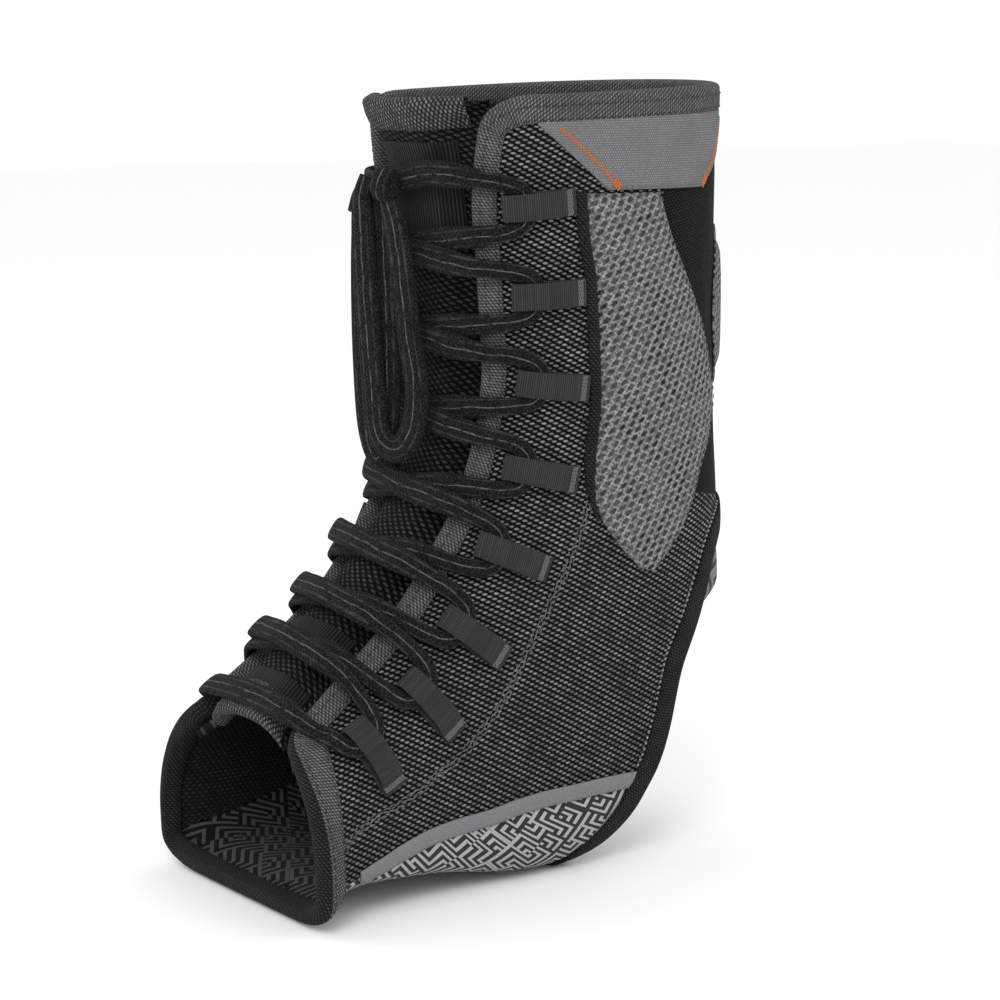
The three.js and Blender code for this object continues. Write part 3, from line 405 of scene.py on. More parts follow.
def across_path(row: Array, deg: Array, joined: bool = False) -> Array:
    """Directions over the form, square to a path."""
    spot = FORM.point(row, deg)
    step = (np.roll(spot, -1, 0) - np.roll(spot, 1, 0)) if joined else np.gradient(spot, axis=0)
    step /= np.linalg.norm(step, axis=1, keepdims=True)
    return np.cross(step, FORM.normal(row, deg))


def grid_between(rows: Array, first: Array, last: Array, shares: Array) -> Place:
    """Grid of places on rows between two edges."""
    return np.repeat(rows[:, None], len(shares), 1), mix(first[:, None], last[:, None], shares[None])


def show(item: Item) -> Item:
    """Links an object to the scene."""
    bpy.context.scene.collection.objects.link(item)
    return item


class Graph:
    """A material's node tree with short calls for the maths of a weave."""

    def __init__(self, name: str) -> None:
        """Starts an empty tree with a principled shader and the cloth coordinates."""
        self.material = bpy.data.materials.new(name)
        self.material.use_nodes = True
        self.tree = self.material.node_tree
        self.tree.nodes.clear()
        self.output = self.node("OutputMaterial")
        self.shader = self.node("BsdfPrincipled")
        self.link(self.shader.outputs["BSDF"], self.output.inputs["Surface"])
        chart = self.node("UVMap")
        chart.uv_map = CLOTH_MAP
        split = self.node("SeparateXYZ")
        self.link(chart.outputs["UV"], split.inputs[0])
        self.x, self.y = split.outputs[0], split.outputs[1]
        place = self.node("TexCoord")
        self.place = place.outputs["Object"]
        spot = self.node("SeparateXYZ")
        self.link(self.place, spot.inputs[0])
        self.height = spot.outputs[2]

    def node(self, kind: str) -> bpy.types.Node:
        """Adds one shader node."""
        return self.tree.nodes.new(f"ShaderNode{kind}")

    def link(self, a: Socket, b: Socket) -> None:
        """Joins two sockets."""
        self.tree.links.new(a, b)

    def feed(self, value: object, socket: Socket) -> None:
        """Links a socket or sets a number."""
        if isinstance(value, Socket):
            self.link(value, socket)
        else:
            socket.default_value = value

    def math(self, operation: str, a: object, b: object = 0.0, c: object = 0.0) -> Socket:
        """One math node."""
        node = self.node("Math")
        node.operation = operation
        self.feed(a, node.inputs[0])
        self.feed(b, node.inputs[1])
        self.feed(c, node.inputs[2])
        return node.outputs[0]

    def times(self, a: object, b: object) -> Socket:
        """a times b."""
        return self.math("MULTIPLY", a, b)

    def plus(self, a: object, b: object) -> Socket:
        """a plus b."""
        return self.math("ADD", a, b)

    def minus(self, a: object, b: object) -> Socket:
        """a less b."""
        return self.math("SUBTRACT", a, b)

    def over(self, a: object, b: object) -> Socket:
        """a divided by b."""
        return self.math("DIVIDE", a, b)

    def line(self, a: object, b: object, c: object) -> Socket:
        """a times b plus c."""
        return self.math("MULTIPLY_ADD", a, b, c)

    def wave(self, value: object, pitch: float) -> Socket:
        """Sine of a length that repeats at a pitch."""
        return self.math("SINE", self.times(value, 2 * math.pi / pitch))

    def ramp(self, value: object, low: float, high: float) -> Socket:
        """Smooth step of a value between two limits."""
        node = self.node("MapRange")
        node.interpolation_type = "SMOOTHSTEP"
        self.feed(value, node.inputs["Value"])
        node.inputs["From Min"].default_value = low
        node.inputs["From Max"].default_value = high
        return node.outputs["Result"]

    def mix(self, factor: object, a: object, b: object) -> Socket:
        """Colour blend; colours are three numbers or sockets."""
        node = self.node("Mix")
        node.data_type = "RGBA"
        self.feed(factor, node.inputs[0])
        for value, socket in ((a, node.inputs[6]), (b, node.inputs[7])):
            self.feed(value if isinstance(value, Socket) else (*value, 1.0), socket)
        return node.outputs[2]

    def noise(self, scale: float, detail: float = 3.0) -> Socket:
        """Noise over the object."""
        node = self.node("TexNoise")
        self.link(self.place, node.inputs["Vector"])
        node.inputs["Scale"].default_value = scale
        node.inputs["Detail"].default_value = detail
        return node.outputs["Fac"]

    def random(self, a: object, b: object) -> Socket:
        """Random number for each pair of whole numbers."""
        join = self.node("CombineXYZ")
        self.feed(a, join.inputs[0])
        self.feed(b, join.inputs[1])
        node = self.node("TexWhiteNoise")
        node.noise_dimensions = "2D"
        self.link(join.outputs[0], node.inputs["Vector"])
        return node.outputs["Value"]

    def turned(self, degrees: float) -> tuple[Socket, Socket]:
        """Cloth coordinates turned by an angle."""
        c, s = math.cos(math.radians(degrees)), math.sin(math.radians(degrees))
        x = self.plus(self.times(self.x, c), self.times(self.y, s))
        y = self.minus(self.times(self.y, c), self.times(self.x, s))
        return x, y

    def finish(self, colour: object, rough: float, sheen: float, height: object,
               depth: float) -> bpy.types.Material:
        """Sets the shader from a colour, a roughness, a sheen and a bump height in metres."""
        self.feed(colour if isinstance(colour, Socket) else (*colour, 1.0),
                  self.shader.inputs["Base Color"])
        for key, value in (("Roughness", rough), ("Sheen Weight", sheen), ("Sheen Roughness", SHEEN_ROUGHNESS),
                           ("Specular IOR Level", SPECULAR)):
            self.shader.inputs[key].default_value = value
        bump = self.node("Bump")
        bump.inputs["Strength"].default_value = BUMP_STRENGTH
        bump.inputs["Distance"].default_value = depth
        self.feed(height, bump.inputs["Height"])
        self.link(bump.outputs["Normal"], self.shader.inputs["Normal"])
        return self.material


Tone = tuple[float, float, float]


def grey(value: float, warm: float = 0.0) -> Tone:
    """A grey, slightly blue unless warmed."""
    return (value * (1.0 + warm), value, value * (1.03 - warm))


@dataclass(frozen=True)
class Knit:
    """Staggered knit of raised yarn tufts, or of dark holes between them.

    Args:
        name: Name of the material.
        ground: Colour between the tufts.
        tuft: Colour of the tufts.
        pitch: Distance between tufts across and along the cloth, in metres.
        size: Half size of a tuft as shares of the pitch.
        lean: How far a tuft leans, as a share.
        turn: Direction of the knit in degrees.
        depth: Height of the tufts in the bump, in metres; negative for holes.
        vary: How much the tufts differ in tone.
        yarn: Pitch of slanting yarns in the ground, in metres, or 0 for none.
        low: Share of the tufts' brightness that is left near the floor, where the tufts are darkened as
            painted shade.
    """

    name: str
    ground: Tone
    tuft: Tone
    pitch: tuple[float, float]
    size: tuple[float, float]
    lean: float = 0.5
    turn: float = 0.0
    depth: float = 0.0005
    vary: float = 0.6
    yarn: float = 0.0
    low: float = 1.0

    def build(self) -> bpy.types.Material:
        """Makes the material."""
        g = Graph(self.name)
        x, y = g.turned(self.turn)
        down = g.over(y, self.pitch[1])
        row = g.math("FLOOR", down)
        fy = g.minus(g.minus(down, row), 0.5)
        shift = g.times(g.math("FLOORED_MODULO", row, 2.0), 0.5)
        over = g.plus(g.over(x, self.pitch[0]), shift)
        column = g.math("FLOOR", over)
        fx = g.minus(g.minus(over, column), 0.5)
        fx = g.line(fy, self.lean, fx)
        dx = g.over(fx, self.size[0])
        dy = g.over(fy, self.size[1])
        far = g.math("SQRT", g.plus(g.times(dx, dx), g.times(dy, dy)))
        tuft = g.minus(1.0, g.ramp(far, *TUFT_EDGE))
        chance = g.random(row, column)
        patch = g.ramp(g.noise(90.0), 0.3, 0.7)
        bright = g.times(tuft, g.minus(1.0, g.times(chance, self.vary)))
        bright = g.times(bright, g.line(patch, 0.3, 0.75))
        # Painted shade: the tufts darken towards the floor, down to the share low
        floor_shade_ramp = g.ramp(g.height, *SHADED_HEIGHTS)
        bright = g.times(bright, g.line(floor_shade_ramp, 1.0 - self.low, self.low))
        fibre = g.times(g.noise(2600.0, 2.0), 0.25)
        height = g.plus(tuft, fibre)
        ground: object = self.ground
        if self.yarn:
            one, two = (g.ramp(g.wave(g.turned(self.turn + way)[0], self.yarn), -0.3, 0.9)
                        for way in (52, -48))
            light = g.times(g.math("MAXIMUM", one, two), g.ramp(g.noise(700.0), 0.3, 0.65))
            ground = g.mix(light, tuple(0.38 * v for v in self.ground), self.ground)
        colour = g.mix(bright, ground, self.tuft)
        return g.finish(colour, 0.9, 0.02, height, self.depth)


@dataclass(frozen=True)
class Ribs:
    """Woven ribs across or along a band."""

    name: str
    ground: Tone
    rib: Tone
    pitch: float
    along: bool = False
    turn: float = 0.0
    depth: float = 0.00025

    def build(self) -> bpy.types.Material:
        """Makes the material."""
        g = Graph(self.name)
        x, y = g.turned(self.turn)
        run, cross = (y, x) if self.along else (x, y)
        rib = g.ramp(g.wave(run, self.pitch), -0.7, 0.8)
        line = g.math("FLOOR", g.over(run, self.pitch))
        knots = g.math("SINE", g.line(cross, 2 * math.pi / (self.pitch * 1.1),
                                      g.times(line, math.pi)))
        height = g.line(g.ramp(knots, -1.0, 1.0), 0.35, rib)
        tone = g.times(rib, g.line(g.random(line, 3.0), 0.5, 0.5))
        tone = g.times(tone, g.line(g.ramp(g.noise(120.0), 0.3, 0.7), 0.35, 0.7))
        return g.finish(g.mix(tone, self.ground, self.rib), 0.75, 0.03, height, self.depth)


@dataclass(frozen=True)
class Braid:
    """Flat braided lace: slanting strands to both sides of a light centre thread."""

    name: str
    ground: Tone
    strand: Tone
    thread: Tone
    pitch: float = 0.0013

    def build(self) -> bpy.types.Material:
        """Makes the material."""
        g = Graph(self.name)
        off = g.math("ABSOLUTE", g.x)
        slant = g.line(off, 0.9, g.y)
        wave = g.ramp(g.wave(slant, self.pitch), -0.8, 0.8)
        fine = g.ramp(g.wave(off, 0.0009), -0.9, 0.9)
        yarn = g.times(wave, g.line(fine, 0.5, 0.5))
        grain = g.ramp(g.noise(1900.0, 3.0), 0.40, 0.68)
        tone = g.times(g.line(yarn, 0.55, 0.45), grain)
        colour = g.mix(tone, self.ground, self.strand)
        drift = g.times(g.minus(g.noise(120.0), 0.5), 0.0016)
        wander = g.math("ABSOLUTE", g.plus(g.x, drift))
        line = g.minus(1.0, g.ramp(wander, 0.0001, 0.00028))
        side = g.math("ABSOLUTE", g.minus(off, 0.0023))
        edge = g.minus(1.0, g.ramp(g.plus(side, drift), 0.0001, 0.0003))
        line = g.math("MAXIMUM", line, g.times(edge, 0.3))
        line = g.times(line, g.ramp(g.noise(420.0), 0.3, 0.6))
        colour = g.mix(line, colour, self.thread)
        return g.finish(colour, 0.85, 0.03, g.plus(g.plus(yarn, line), grain), 0.0003)


@dataclass(frozen=True)
class Parquet:
    """Printed stretch cloth: blocks of parallel lines, turned from block to block."""

    name: str
    ground: Tone
    ink: Tone
    block: float = 0.0078
    lines: float = 3.0
    turn: float = 31.0

    def build(self) -> bpy.types.Material:
        """Makes the material."""
        g = Graph(self.name)
        x, y = g.turned(self.turn)
        a = g.over(x, self.block)
        b = g.over(y, self.block)
        ia, ib = g.math("FLOOR", a), g.math("FLOOR", b)
        fa, fb = g.minus(a, ia), g.minus(b, ib)
        turned = g.math("GREATER_THAN", g.random(ia, ib), 0.5)
        mirrored = g.math("GREATER_THAN", g.random(ib, ia), 0.5)
        fb2 = g.math("ABSOLUTE", g.minus(fb, mirrored))
        corner = g.math("MAXIMUM", fa, fb2)
        straight = g.math("MINIMUM", fa, g.minus(1.0, fb2))
        pick = g.plus(g.times(corner, turned),
                      g.times(straight, g.minus(1.0, turned)))
        wave = g.math("SINE", g.times(pick, 2 * math.pi * self.lines))
        line = g.ramp(wave, 0.05, 0.35)
        knit = g.ramp(g.wave(g.y, 0.0008), -1.0, 1.0)
        tone = g.times(line, g.line(knit, 0.25, 0.75))
        return g.finish(g.mix(tone, self.ground, self.ink), 0.75, 0.03, knit, 0.0001)


@dataclass(frozen=True)
class Thread:
    """Plain sewing thread."""

    name: str
    colour: Tone

    def build(self) -> bpy.types.Material:
        """Makes the material."""
        g = Graph(self.name)
        twist = g.noise(3000.0, 2.0)
        shade = tuple(0.6 * v for v in self.colour)
        return g.finish(g.mix(twist, shade, self.colour), 0.6, 0.1, twist, 0.0001)


class Finish(Enum):
    """Every finish of the brace."""

    # The quarter mesh's tufts carry painted shade near the floor (low=0.78)
    QUARTER = Knit("quarter mesh", grey(0.003), grey(0.26), (0.0021, 0.0012), (0.35, 0.43), 0.45, 20.0,
                   low=0.78)
    REAR = Knit("rear mesh", grey(0.003), grey(0.022), (0.0013, 0.0009), (0.42, 0.45), 0.4, 10.0, 0.0003)
    LINING = Knit("lining", grey(0.004), grey(0.02), (0.0016, 0.0012), (0.4, 0.45), 0.0, 0.0, 0.0002)
    PAD = Knit("grey air mesh", grey(0.27), grey(0.014), (0.0033, 0.0021), (0.36, 0.40), -0.4, 14.0, -0.0008,
               0.25, 0.0012)
    HEM = Knit("tongue hem mesh", grey(0.015), grey(0.17), (0.0014, 0.0011), (0.40, 0.42), 0.5, 20.0, 0.0003)
    TONGUE = Knit("tongue mesh", grey(0.004), grey(0.06), (0.0024, 0.0015), (0.34, 0.44), 0.6, 12.0, 0.0006)
    BINDING = Knit("binding tape", grey(0.03), grey(0.19), (0.0012, 0.00085), (0.42, 0.44), 0.7, 0.0, 0.00025,
                   0.45)
    # Dark tape of the heel, the pad strips and the back seams; on the toe tape's fold and inner leg it is
    # painted shade
    DARK_BINDING = Knit("dark binding tape", grey(0.006), grey(0.035), (0.0013, 0.0008), (0.42, 0.44), 0.4,
                        0.0, 0.00025, 0.4)
    WEBBING = Ribs("loop webbing", grey(0.02), grey(0.055), 0.00062, True)
    ELASTIC = Ribs("ribbed elastic", grey(0.006), grey(0.035), 0.0011)
    TAB = Knit("grey elastic", grey(0.11), grey(0.225), (0.0008, 0.0007), (0.44, 0.46), 0.2, 0.0, 0.00012,
               0.5)
    TAPE = Knit("grey tape", grey(0.155), grey(0.215), (0.0008, 0.0007), (0.44, 0.46), 0.2, 0.0, 0.0001, 0.5)
    LACE = Braid("flat lace", grey(0.004), grey(0.032), grey(0.11))
    SOLE_OUT = Parquet("printed sole", grey(0.03), grey(0.42))
    # The sole's real print, darkened as painted shade for inner faces inside the brace
    SOLE_IN = Parquet("printed sole lining", grey(0.005), grey(0.06))
    GUSSET_OUT = Parquet("printed gusset", grey(0.05), grey(0.22))
    DARK_THREAD = Thread("dark thread", grey(0.03))
    GREY_THREAD = Thread("grey thread", grey(0.13))
    LIGHT_THREAD = Thread("light thread", grey(0.26))
    ORANGE_THREAD = Thread("orange thread", (0.56, 0.16, 0.05))

    def material(self) -> bpy.types.Material:
        """The finish's material, made once."""
        found = bpy.data.materials.get(self.value.name)
        return found if found else self.value.build()


class Slot(Enum):
    """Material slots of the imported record."""

    MESH = "spacer_mesh"
    BINDING = "binding_tape"
    ELASTIC = "grey_elastic"
    AIR = "grey_air_mesh"
    WEBBING = "webbing"
    RIBBED = "ribbed_elastic"
    LACE = "lace_cord"
    PRINT = "printed_stretch"


def make_object(name: str, vertices: Array, faces: list, cloth: list, finishes: Sequence[Finish],
                slots: Optional[list] = None) -> Item:
    """Builds a smooth closed mesh in the row frame.

    Args:
        name: Name of the piece.
        vertices: Points in metres.
        faces: Vertex numbers of each face.
        cloth: Cloth coordinates of each face's corners.
        finishes: Finishes, in slot order.
        slots: Slot number of each face.

    Returns:
        The new object, with its faces pointing out.
    """
    mesh = bpy.data.meshes.new(name)
    mesh.from_pydata([tuple(v) for v in vertices], [], faces)
    layer = mesh.uv_layers.new(name=CLOTH_MAP)
    flat = np.array([uv for face in cloth for uv in face], float)
    layer.data.foreach_set("uv", flat.ravel())
    for finish in finishes:
        mesh.materials.append(finish.material())
    if slots is not None:
        mesh.polygons.foreach_set("material_index", slots)
    mesh.polygons.foreach_set("use_smooth", [True] * len(faces))
    work = bmesh.new()
    work.from_mesh(mesh)
    bmesh.ops.recalc_face_normals(work, faces=work.faces)
    work.to_mesh(mesh)
    work.free()
    mesh.update()
    return show(bpy.data.objects.new(name, mesh))


def settle(item: Item, slot: Slot, nodes: Sequence[str] = ()) -> Item:
    """Rides a piece on the brace and hides the CAD nodes that it stands for."""
    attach(item, BODY)
    if nodes:
        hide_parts(*nodes)
    LOG.info("%s: %d faces", item.name, len(item.data.polygons))
    return item


def sheet_piece(name: str, row: Array, deg: Array, low: Array, high: Array, cloth: Array,
                finishes: Sequence[Finish], pick: Optional[Callable[[float, float], int]] = None) -> Item:
    """Closed panel over the form between two lifts.

    Args:
        name: Name of the piece.
        row: Section position at each grid place.
        deg: Angle at each grid place.
        low: Lift of the inner face.
        high: Lift of the outer face.
        cloth: Cloth coordinates of the grid.
        finishes: Outer finish, inner finish and further ones that pick names.
        pick: Slot of an outer face from its section position and angle.

    Returns:
        The panel.
    """
    rows, columns = row.shape
    low = np.broadcast_to(np.asarray(low, float), row.shape)
    high = np.broadcast_to(np.asarray(high, float), row.shape)
    outer = to_world(FORM.lifted(row, deg, high)).reshape(-1, 3)
    inner = to_world(FORM.lifted(row, deg, low)).reshape(-1, 3)
    half = len(outer)
    chart = cloth.reshape(-1, 2)
    faces, charts, slots = [], [], []
    inside = min(1, len(finishes) - 1)
    for i in range(rows - 1):
        for j in range(columns - 1):
            a, b = i * columns + j, i * columns + j + 1
            c, d = b + columns, a + columns
            faces.append((a, b, c, d))
            charts.append([chart[k] for k in (a, b, c, d)])
            slots.append(pick(row[i, j], deg[i, j]) if pick else 0)
            faces.append((a + half, d + half, c + half, b + half))
            charts.append([chart[k] for k in (a, d, c, b)])
            slots.append(inside)
    rim = [(0, j) for j in range(columns - 1)] + [(i, columns - 1) for i in range(rows - 1)]
    rim += [(rows - 1, j) for j in range(columns - 1, 0, -1)] + [(i, 0) for i in range(rows - 1, 0, -1)]
    for k, (i, j) in enumerate(rim):
        m, n = rim[(k + 1) % len(rim)]
        a, b = i * columns + j, m * columns + n
        faces.append((a, a + half, b + half, b))
        charts.append([chart[a], chart[a], chart[b], chart[b]])
        slots.append(0)
    return make_object(name, np.vstack([outer, inner]), faces, charts, finishes, slots)


def tube_piece(name: str, rings: Array, finishes: Sequence[Finish], joined: bool = False,
               middle: float = 0.0, dark: Sequence[int] = ()) -> Item:
    """Closed tube through rings of points, already in metres.

    Args:
        name: Name of the piece.
        rings: Points by ring and place round it.
        finishes: Finishes, the first one for all faces.
        joined: Whether the last ring meets the first.
        middle: Share of the way round at which the cloth's x is zero.
        dark: Strips along the tube that have the second finish.

    Returns:
        The tube, with caps unless it is joined.
    """
    m, n, _ = rings.shape
    loop = np.concatenate([rings, rings[:, :1]], axis=1)
    steps = np.linalg.norm(np.diff(loop, axis=1), axis=-1)
    around = np.concatenate([np.zeros((m, 1)), np.cumsum(steps, axis=1)], 1)
    around = around - around[:, -1:] * middle
    spine = rings.mean(axis=1)
    ends = np.concatenate([spine, spine[:1]]) if joined else spine
    run = run_along(ends)
    faces, charts, slots = [], [], []
    for i in range(m if joined else m - 1):
        for j in range(n):
            k, p = (j + 1) % n, (i + 1) % m
            faces.append((i * n + j, p * n + j, p * n + k, i * n + k))
            slots.append(1 if j in dark else 0)
            charts.append([(around[i, j], run[i]), (around[p, j], run[i + 1]),
                           (around[p, j + 1], run[i + 1]), (around[i, j + 1], run[i])])
    if not joined:
        for i, order in ((0, range(n)), (m - 1, range(n - 1, -1, -1))):
            faces.append(tuple(i * n + j for j in order))
            slots.append(0)
            charts.append([(around[i, j], run[i]) for j in order])
    return make_object(name, rings.reshape(-1, 3), faces, charts, finishes, slots)


def frames(points: Array, facing: Array, joined: bool = False) -> tuple[Array, Array]:
    """Sideways and up directions of a flat strip along a path that faces one way."""
    if joined:
        tangent = np.roll(points, -1, 0) - np.roll(points, 1, 0)
    else:
        tangent = np.gradient(points, axis=0)
    tangent /= np.linalg.norm(tangent, axis=1, keepdims=True)
    sideways = np.cross(tangent, facing)
    sideways /= np.linalg.norm(sideways, axis=1, keepdims=True)
    return sideways, np.cross(sideways, tangent)


def flat_section(sides: int, power: float = 2.8) -> Array:
    """Unit section of a flat braid, round at its edges, from the middle of its underside."""
    turn = 2 * np.pi * np.arange(sides) / sides - np.pi / 2
    c, s = np.cos(turn), np.sin(turn)
    reach = (np.abs(c) ** power + np.abs(s) ** power) ** (-1 / power)
    return np.stack([c * reach, s * reach], -1)


def strip_rings(points: Array, facing: Array, width: Array, thick: float, sides: int = 16) -> Array:
    """Rings of a flat strip along a path, in the units of the path."""
    sideways, up = frames(points, facing)
    shape = flat_section(sides)
    half = np.asarray(width)[:, None, None] / 2
    return (points[:, None] + sideways[:, None] * shape[None, :, :1] * half
            + up[:, None] * shape[None, :, 1:] * thick / 2)


@dataclass(frozen=True)
class Seam:
    """Pitch, length and radius of a row's stitches, in metres."""

    pitch: float
    length: float
    radius: float


TAPE_SEAM = Seam(0.0026, 0.0018, 0.00016)
HEEL_SEAM = Seam(0.0017, 0.001, 0.00036)
ZIGZAG_SEAM = Seam(0.0013, 0.0015, 0.0002)
PAD_SEAM = Seam(0.0024, 0.0017, 0.00014)
ORANGE_SEAM = Seam(0.00068, 0.001, 0.00016)
BAR_SEAM = Seam(0.0005, 0.0012, 0.0002)
TAB_SEAM = Seam(0.0022, 0.0015, 0.00012)
LOOP_SEAM = Seam(0.0006, 0.0010, 0.00017)


class Stitcher:
    """Rows of small stitches, made by one Geometry Nodes tree."""

    def __init__(self) -> None:
        """Builds the tree: points along a path, a rounded stitch on each."""
        tree = bpy.data.node_groups.new("stitch row", "GeometryNodeTree")
        io = tree.interface
        io.new_socket("Path", in_out="INPUT", socket_type="NodeSocketGeometry")
        for name, value in (("Pitch", 0.003), ("Length", 0.002), ("Radius", 0.0002)):
            io.new_socket(name, in_out="INPUT", socket_type="NodeSocketFloat").default_value = value
        io.new_socket("Thread", in_out="INPUT", socket_type="NodeSocketMaterial")
        io.new_socket("Stitches", in_out="OUTPUT", socket_type="NodeSocketGeometry")
        add = tree.nodes.new
        start, end = add("NodeGroupInput"), add("NodeGroupOutput")
        curve = add("GeometryNodeMeshToCurve")
        spots = add("GeometryNodeCurveToPoints")
        spots.mode = "LENGTH"
        bead = add("GeometryNodeMeshIcoSphere")
        bead.inputs["Subdivisions"].default_value = 2
        bead.inputs["Radius"].default_value = 1.0
        size = add("ShaderNodeCombineXYZ")
        half = add("ShaderNodeMath")
        half.operation = "MULTIPLY"
        half.inputs[1].default_value = 0.5
        place = add("GeometryNodeInstanceOnPoints")
        real = add("GeometryNodeRealizeInstances")
        soft = add("GeometryNodeSetShadeSmooth")
        paint = add("GeometryNodeSetMaterial")
        wires = (
            (start, "Path", curve, 0), (curve, 0, spots, "Curve"), (start, "Pitch", spots, "Length"),
            (spots, "Points", place, "Points"), (spots, "Rotation", place, "Rotation"),
            (bead, "Mesh", place, "Instance"), (start, "Length", half, 0), (start, "Radius", size, 0),
            (start, "Radius", size, 1), (half, 0, size, 2), (size, 0, place, "Scale"), (place, 0, real, 0),
            (real, 0, soft, "Geometry"), (soft, 0, paint, "Geometry"), (start, "Thread", paint, "Material"),
            (paint, 0, end, "Stitches"),
        )
        for source, given, target, taken in wires:
            tree.links.new(source.outputs[given], target.inputs[taken])
        self.tree = tree
        self.keys = {item.name: item.identifier for item in io.items_tree if item.in_out == "INPUT"}

    def sew(self, name: str, paths: Sequence[Array], seam: Seam, thread: Finish, slot: Slot) -> Item:
        """Sews rows of stitches along paths in metres and settles them as one piece."""
        vertices, edges = [], []
        for path in paths:
            first = len(vertices)
            vertices += [tuple(p) for p in path]
            edges += [(first + k, first + k + 1) for k in range(len(path) - 1)]
        mesh = bpy.data.meshes.new(name)
        mesh.from_pydata(vertices, edges, [])
        item = show(bpy.data.objects.new(name, mesh))
        layer = item.modifiers.new("stitches", "NODES")
        layer.node_group = self.tree
        values = {"Pitch": seam.pitch, "Length": seam.length, "Radius": seam.radius,
                  "Thread": thread.material()}
        for key, value in values.items():
            layer[self.keys[key]] = value
        graph = bpy.context.evaluated_depsgraph_get()
        made = bpy.data.meshes.new_from_object(item.evaluated_get(graph))
        item.modifiers.clear()
        item.data = made
        made.name = name
        return settle(item, slot)


def zigzag(rows: Array, degs: Array, lift: float, reach: float, step: float) -> Array:
    """Zigzag path over the form along a line, in metres."""
    line = form_path(rows, degs, lift) / MM
    run = run_along(line)
    count = max(4, int(run[-1] / step))
    t = np.linspace(0, run[-1], count)
    r, d = np.interp(t, run, rows), np.interp(t, run, degs)
    flip = np.where(np.arange(count) % 2 == 0, 1.0, -1.0) * reach / 2
    r, d = FORM.walk(r, d, -across_path(r, d), flip)
    return form_path(r, d, lift)


@dataclass
class Binding:
    """Folded tape over an edge of the form.

    Args:
        name: Name of the piece.
        row: Section positions of the edge.
        deg: Angles of the edge.
        thick: Thickness of the panel inside the fold.
        outer_leg: Width of the outer leg at each place.
        inner_leg: Width of the inner leg.
        joined: Whether the tape closes on itself.
        nodes: CAD nodes that the tape stands for.
        finish: Finish of the outer leg, and of the rest where nose isn't given.
        nose: Finish of the fold and the inner leg; the toe tape's darker nose is painted shade.
    """

    name: str
    row: Array
    deg: Array
    thick: float
    outer_leg: Array
    inner_leg: float
    joined: bool
    nodes: tuple[str, ...]
    finish: Finish = Finish.BINDING
    nose: Optional[Finish] = None

    def build(self) -> Item:
        """Builds the tape with a rounded fold."""
        row, deg = self.row, self.deg
        spot = FORM.point(row, deg)
        normal = FORM.normal(row, deg)
        outward = across_path(row, deg, self.joined)
        outward /= np.linalg.norm(outward, axis=1, keepdims=True)
        top = CLEARANCE + BINDING_THICK
        middle = -self.thick / 2
        radius = top - middle
        profile = [(1.0, CLEARANCE, "out"), (1.0, top - 0.35, "out"), (0.93, top, "out")]
        profile += [(k, top + 0.12 * math.sin(math.pi * k), "out") for k in (0.75, 0.5, 0.25)]
        turns = np.linspace(math.pi / 2, -math.pi / 2, 9)
        profile += [(-1.5 * math.cos(a), middle + radius * math.sin(a), "fold") for a in turns]
        under = -self.thick - CLEARANCE
        profile += [(0.5, -self.thick - top, "in"), (1.0, -self.thick - top + 0.3, "in"), (1.0, under, "in")]
        profile += [(-0.35, under, "fold"), (-0.35, CLEARANCE, "fold")]
        rings = np.zeros((len(row), len(profile), 3))
        for k, (depth, lift, leg) in enumerate(profile):
            if leg == "fold":
                p = spot + normal * lift - outward * depth
                p[:, 2] = np.maximum(p[:, 2], FLOOR_LIFT - min(lift, top))
            else:
                size = self.outer_leg if leg == "out" else np.full(len(row), self.inner_leg)
                r, d = FORM.walk(row, deg, -outward, depth * size)
                p = FORM.lifted(r, d, np.full(len(row), lift))
            rings[:, k] = p
        finishes = [self.finish, self.nose or self.finish]
        item = tube_piece(self.name, to_world(rings), finishes, self.joined, dark=range(6, len(profile) - 2))
        return settle(item, Slot.BINDING, self.nodes)

    def inset(self, depth: Array, lift: float) -> Array:
        """Path on the outer leg, a length in from the edge, in metres."""
        outward = across_path(self.row, self.deg, self.joined)
        r, d = FORM.walk(self.row, self.deg, -outward, depth * np.ones(len(self.row)))
        return form_path(r, d, lift)


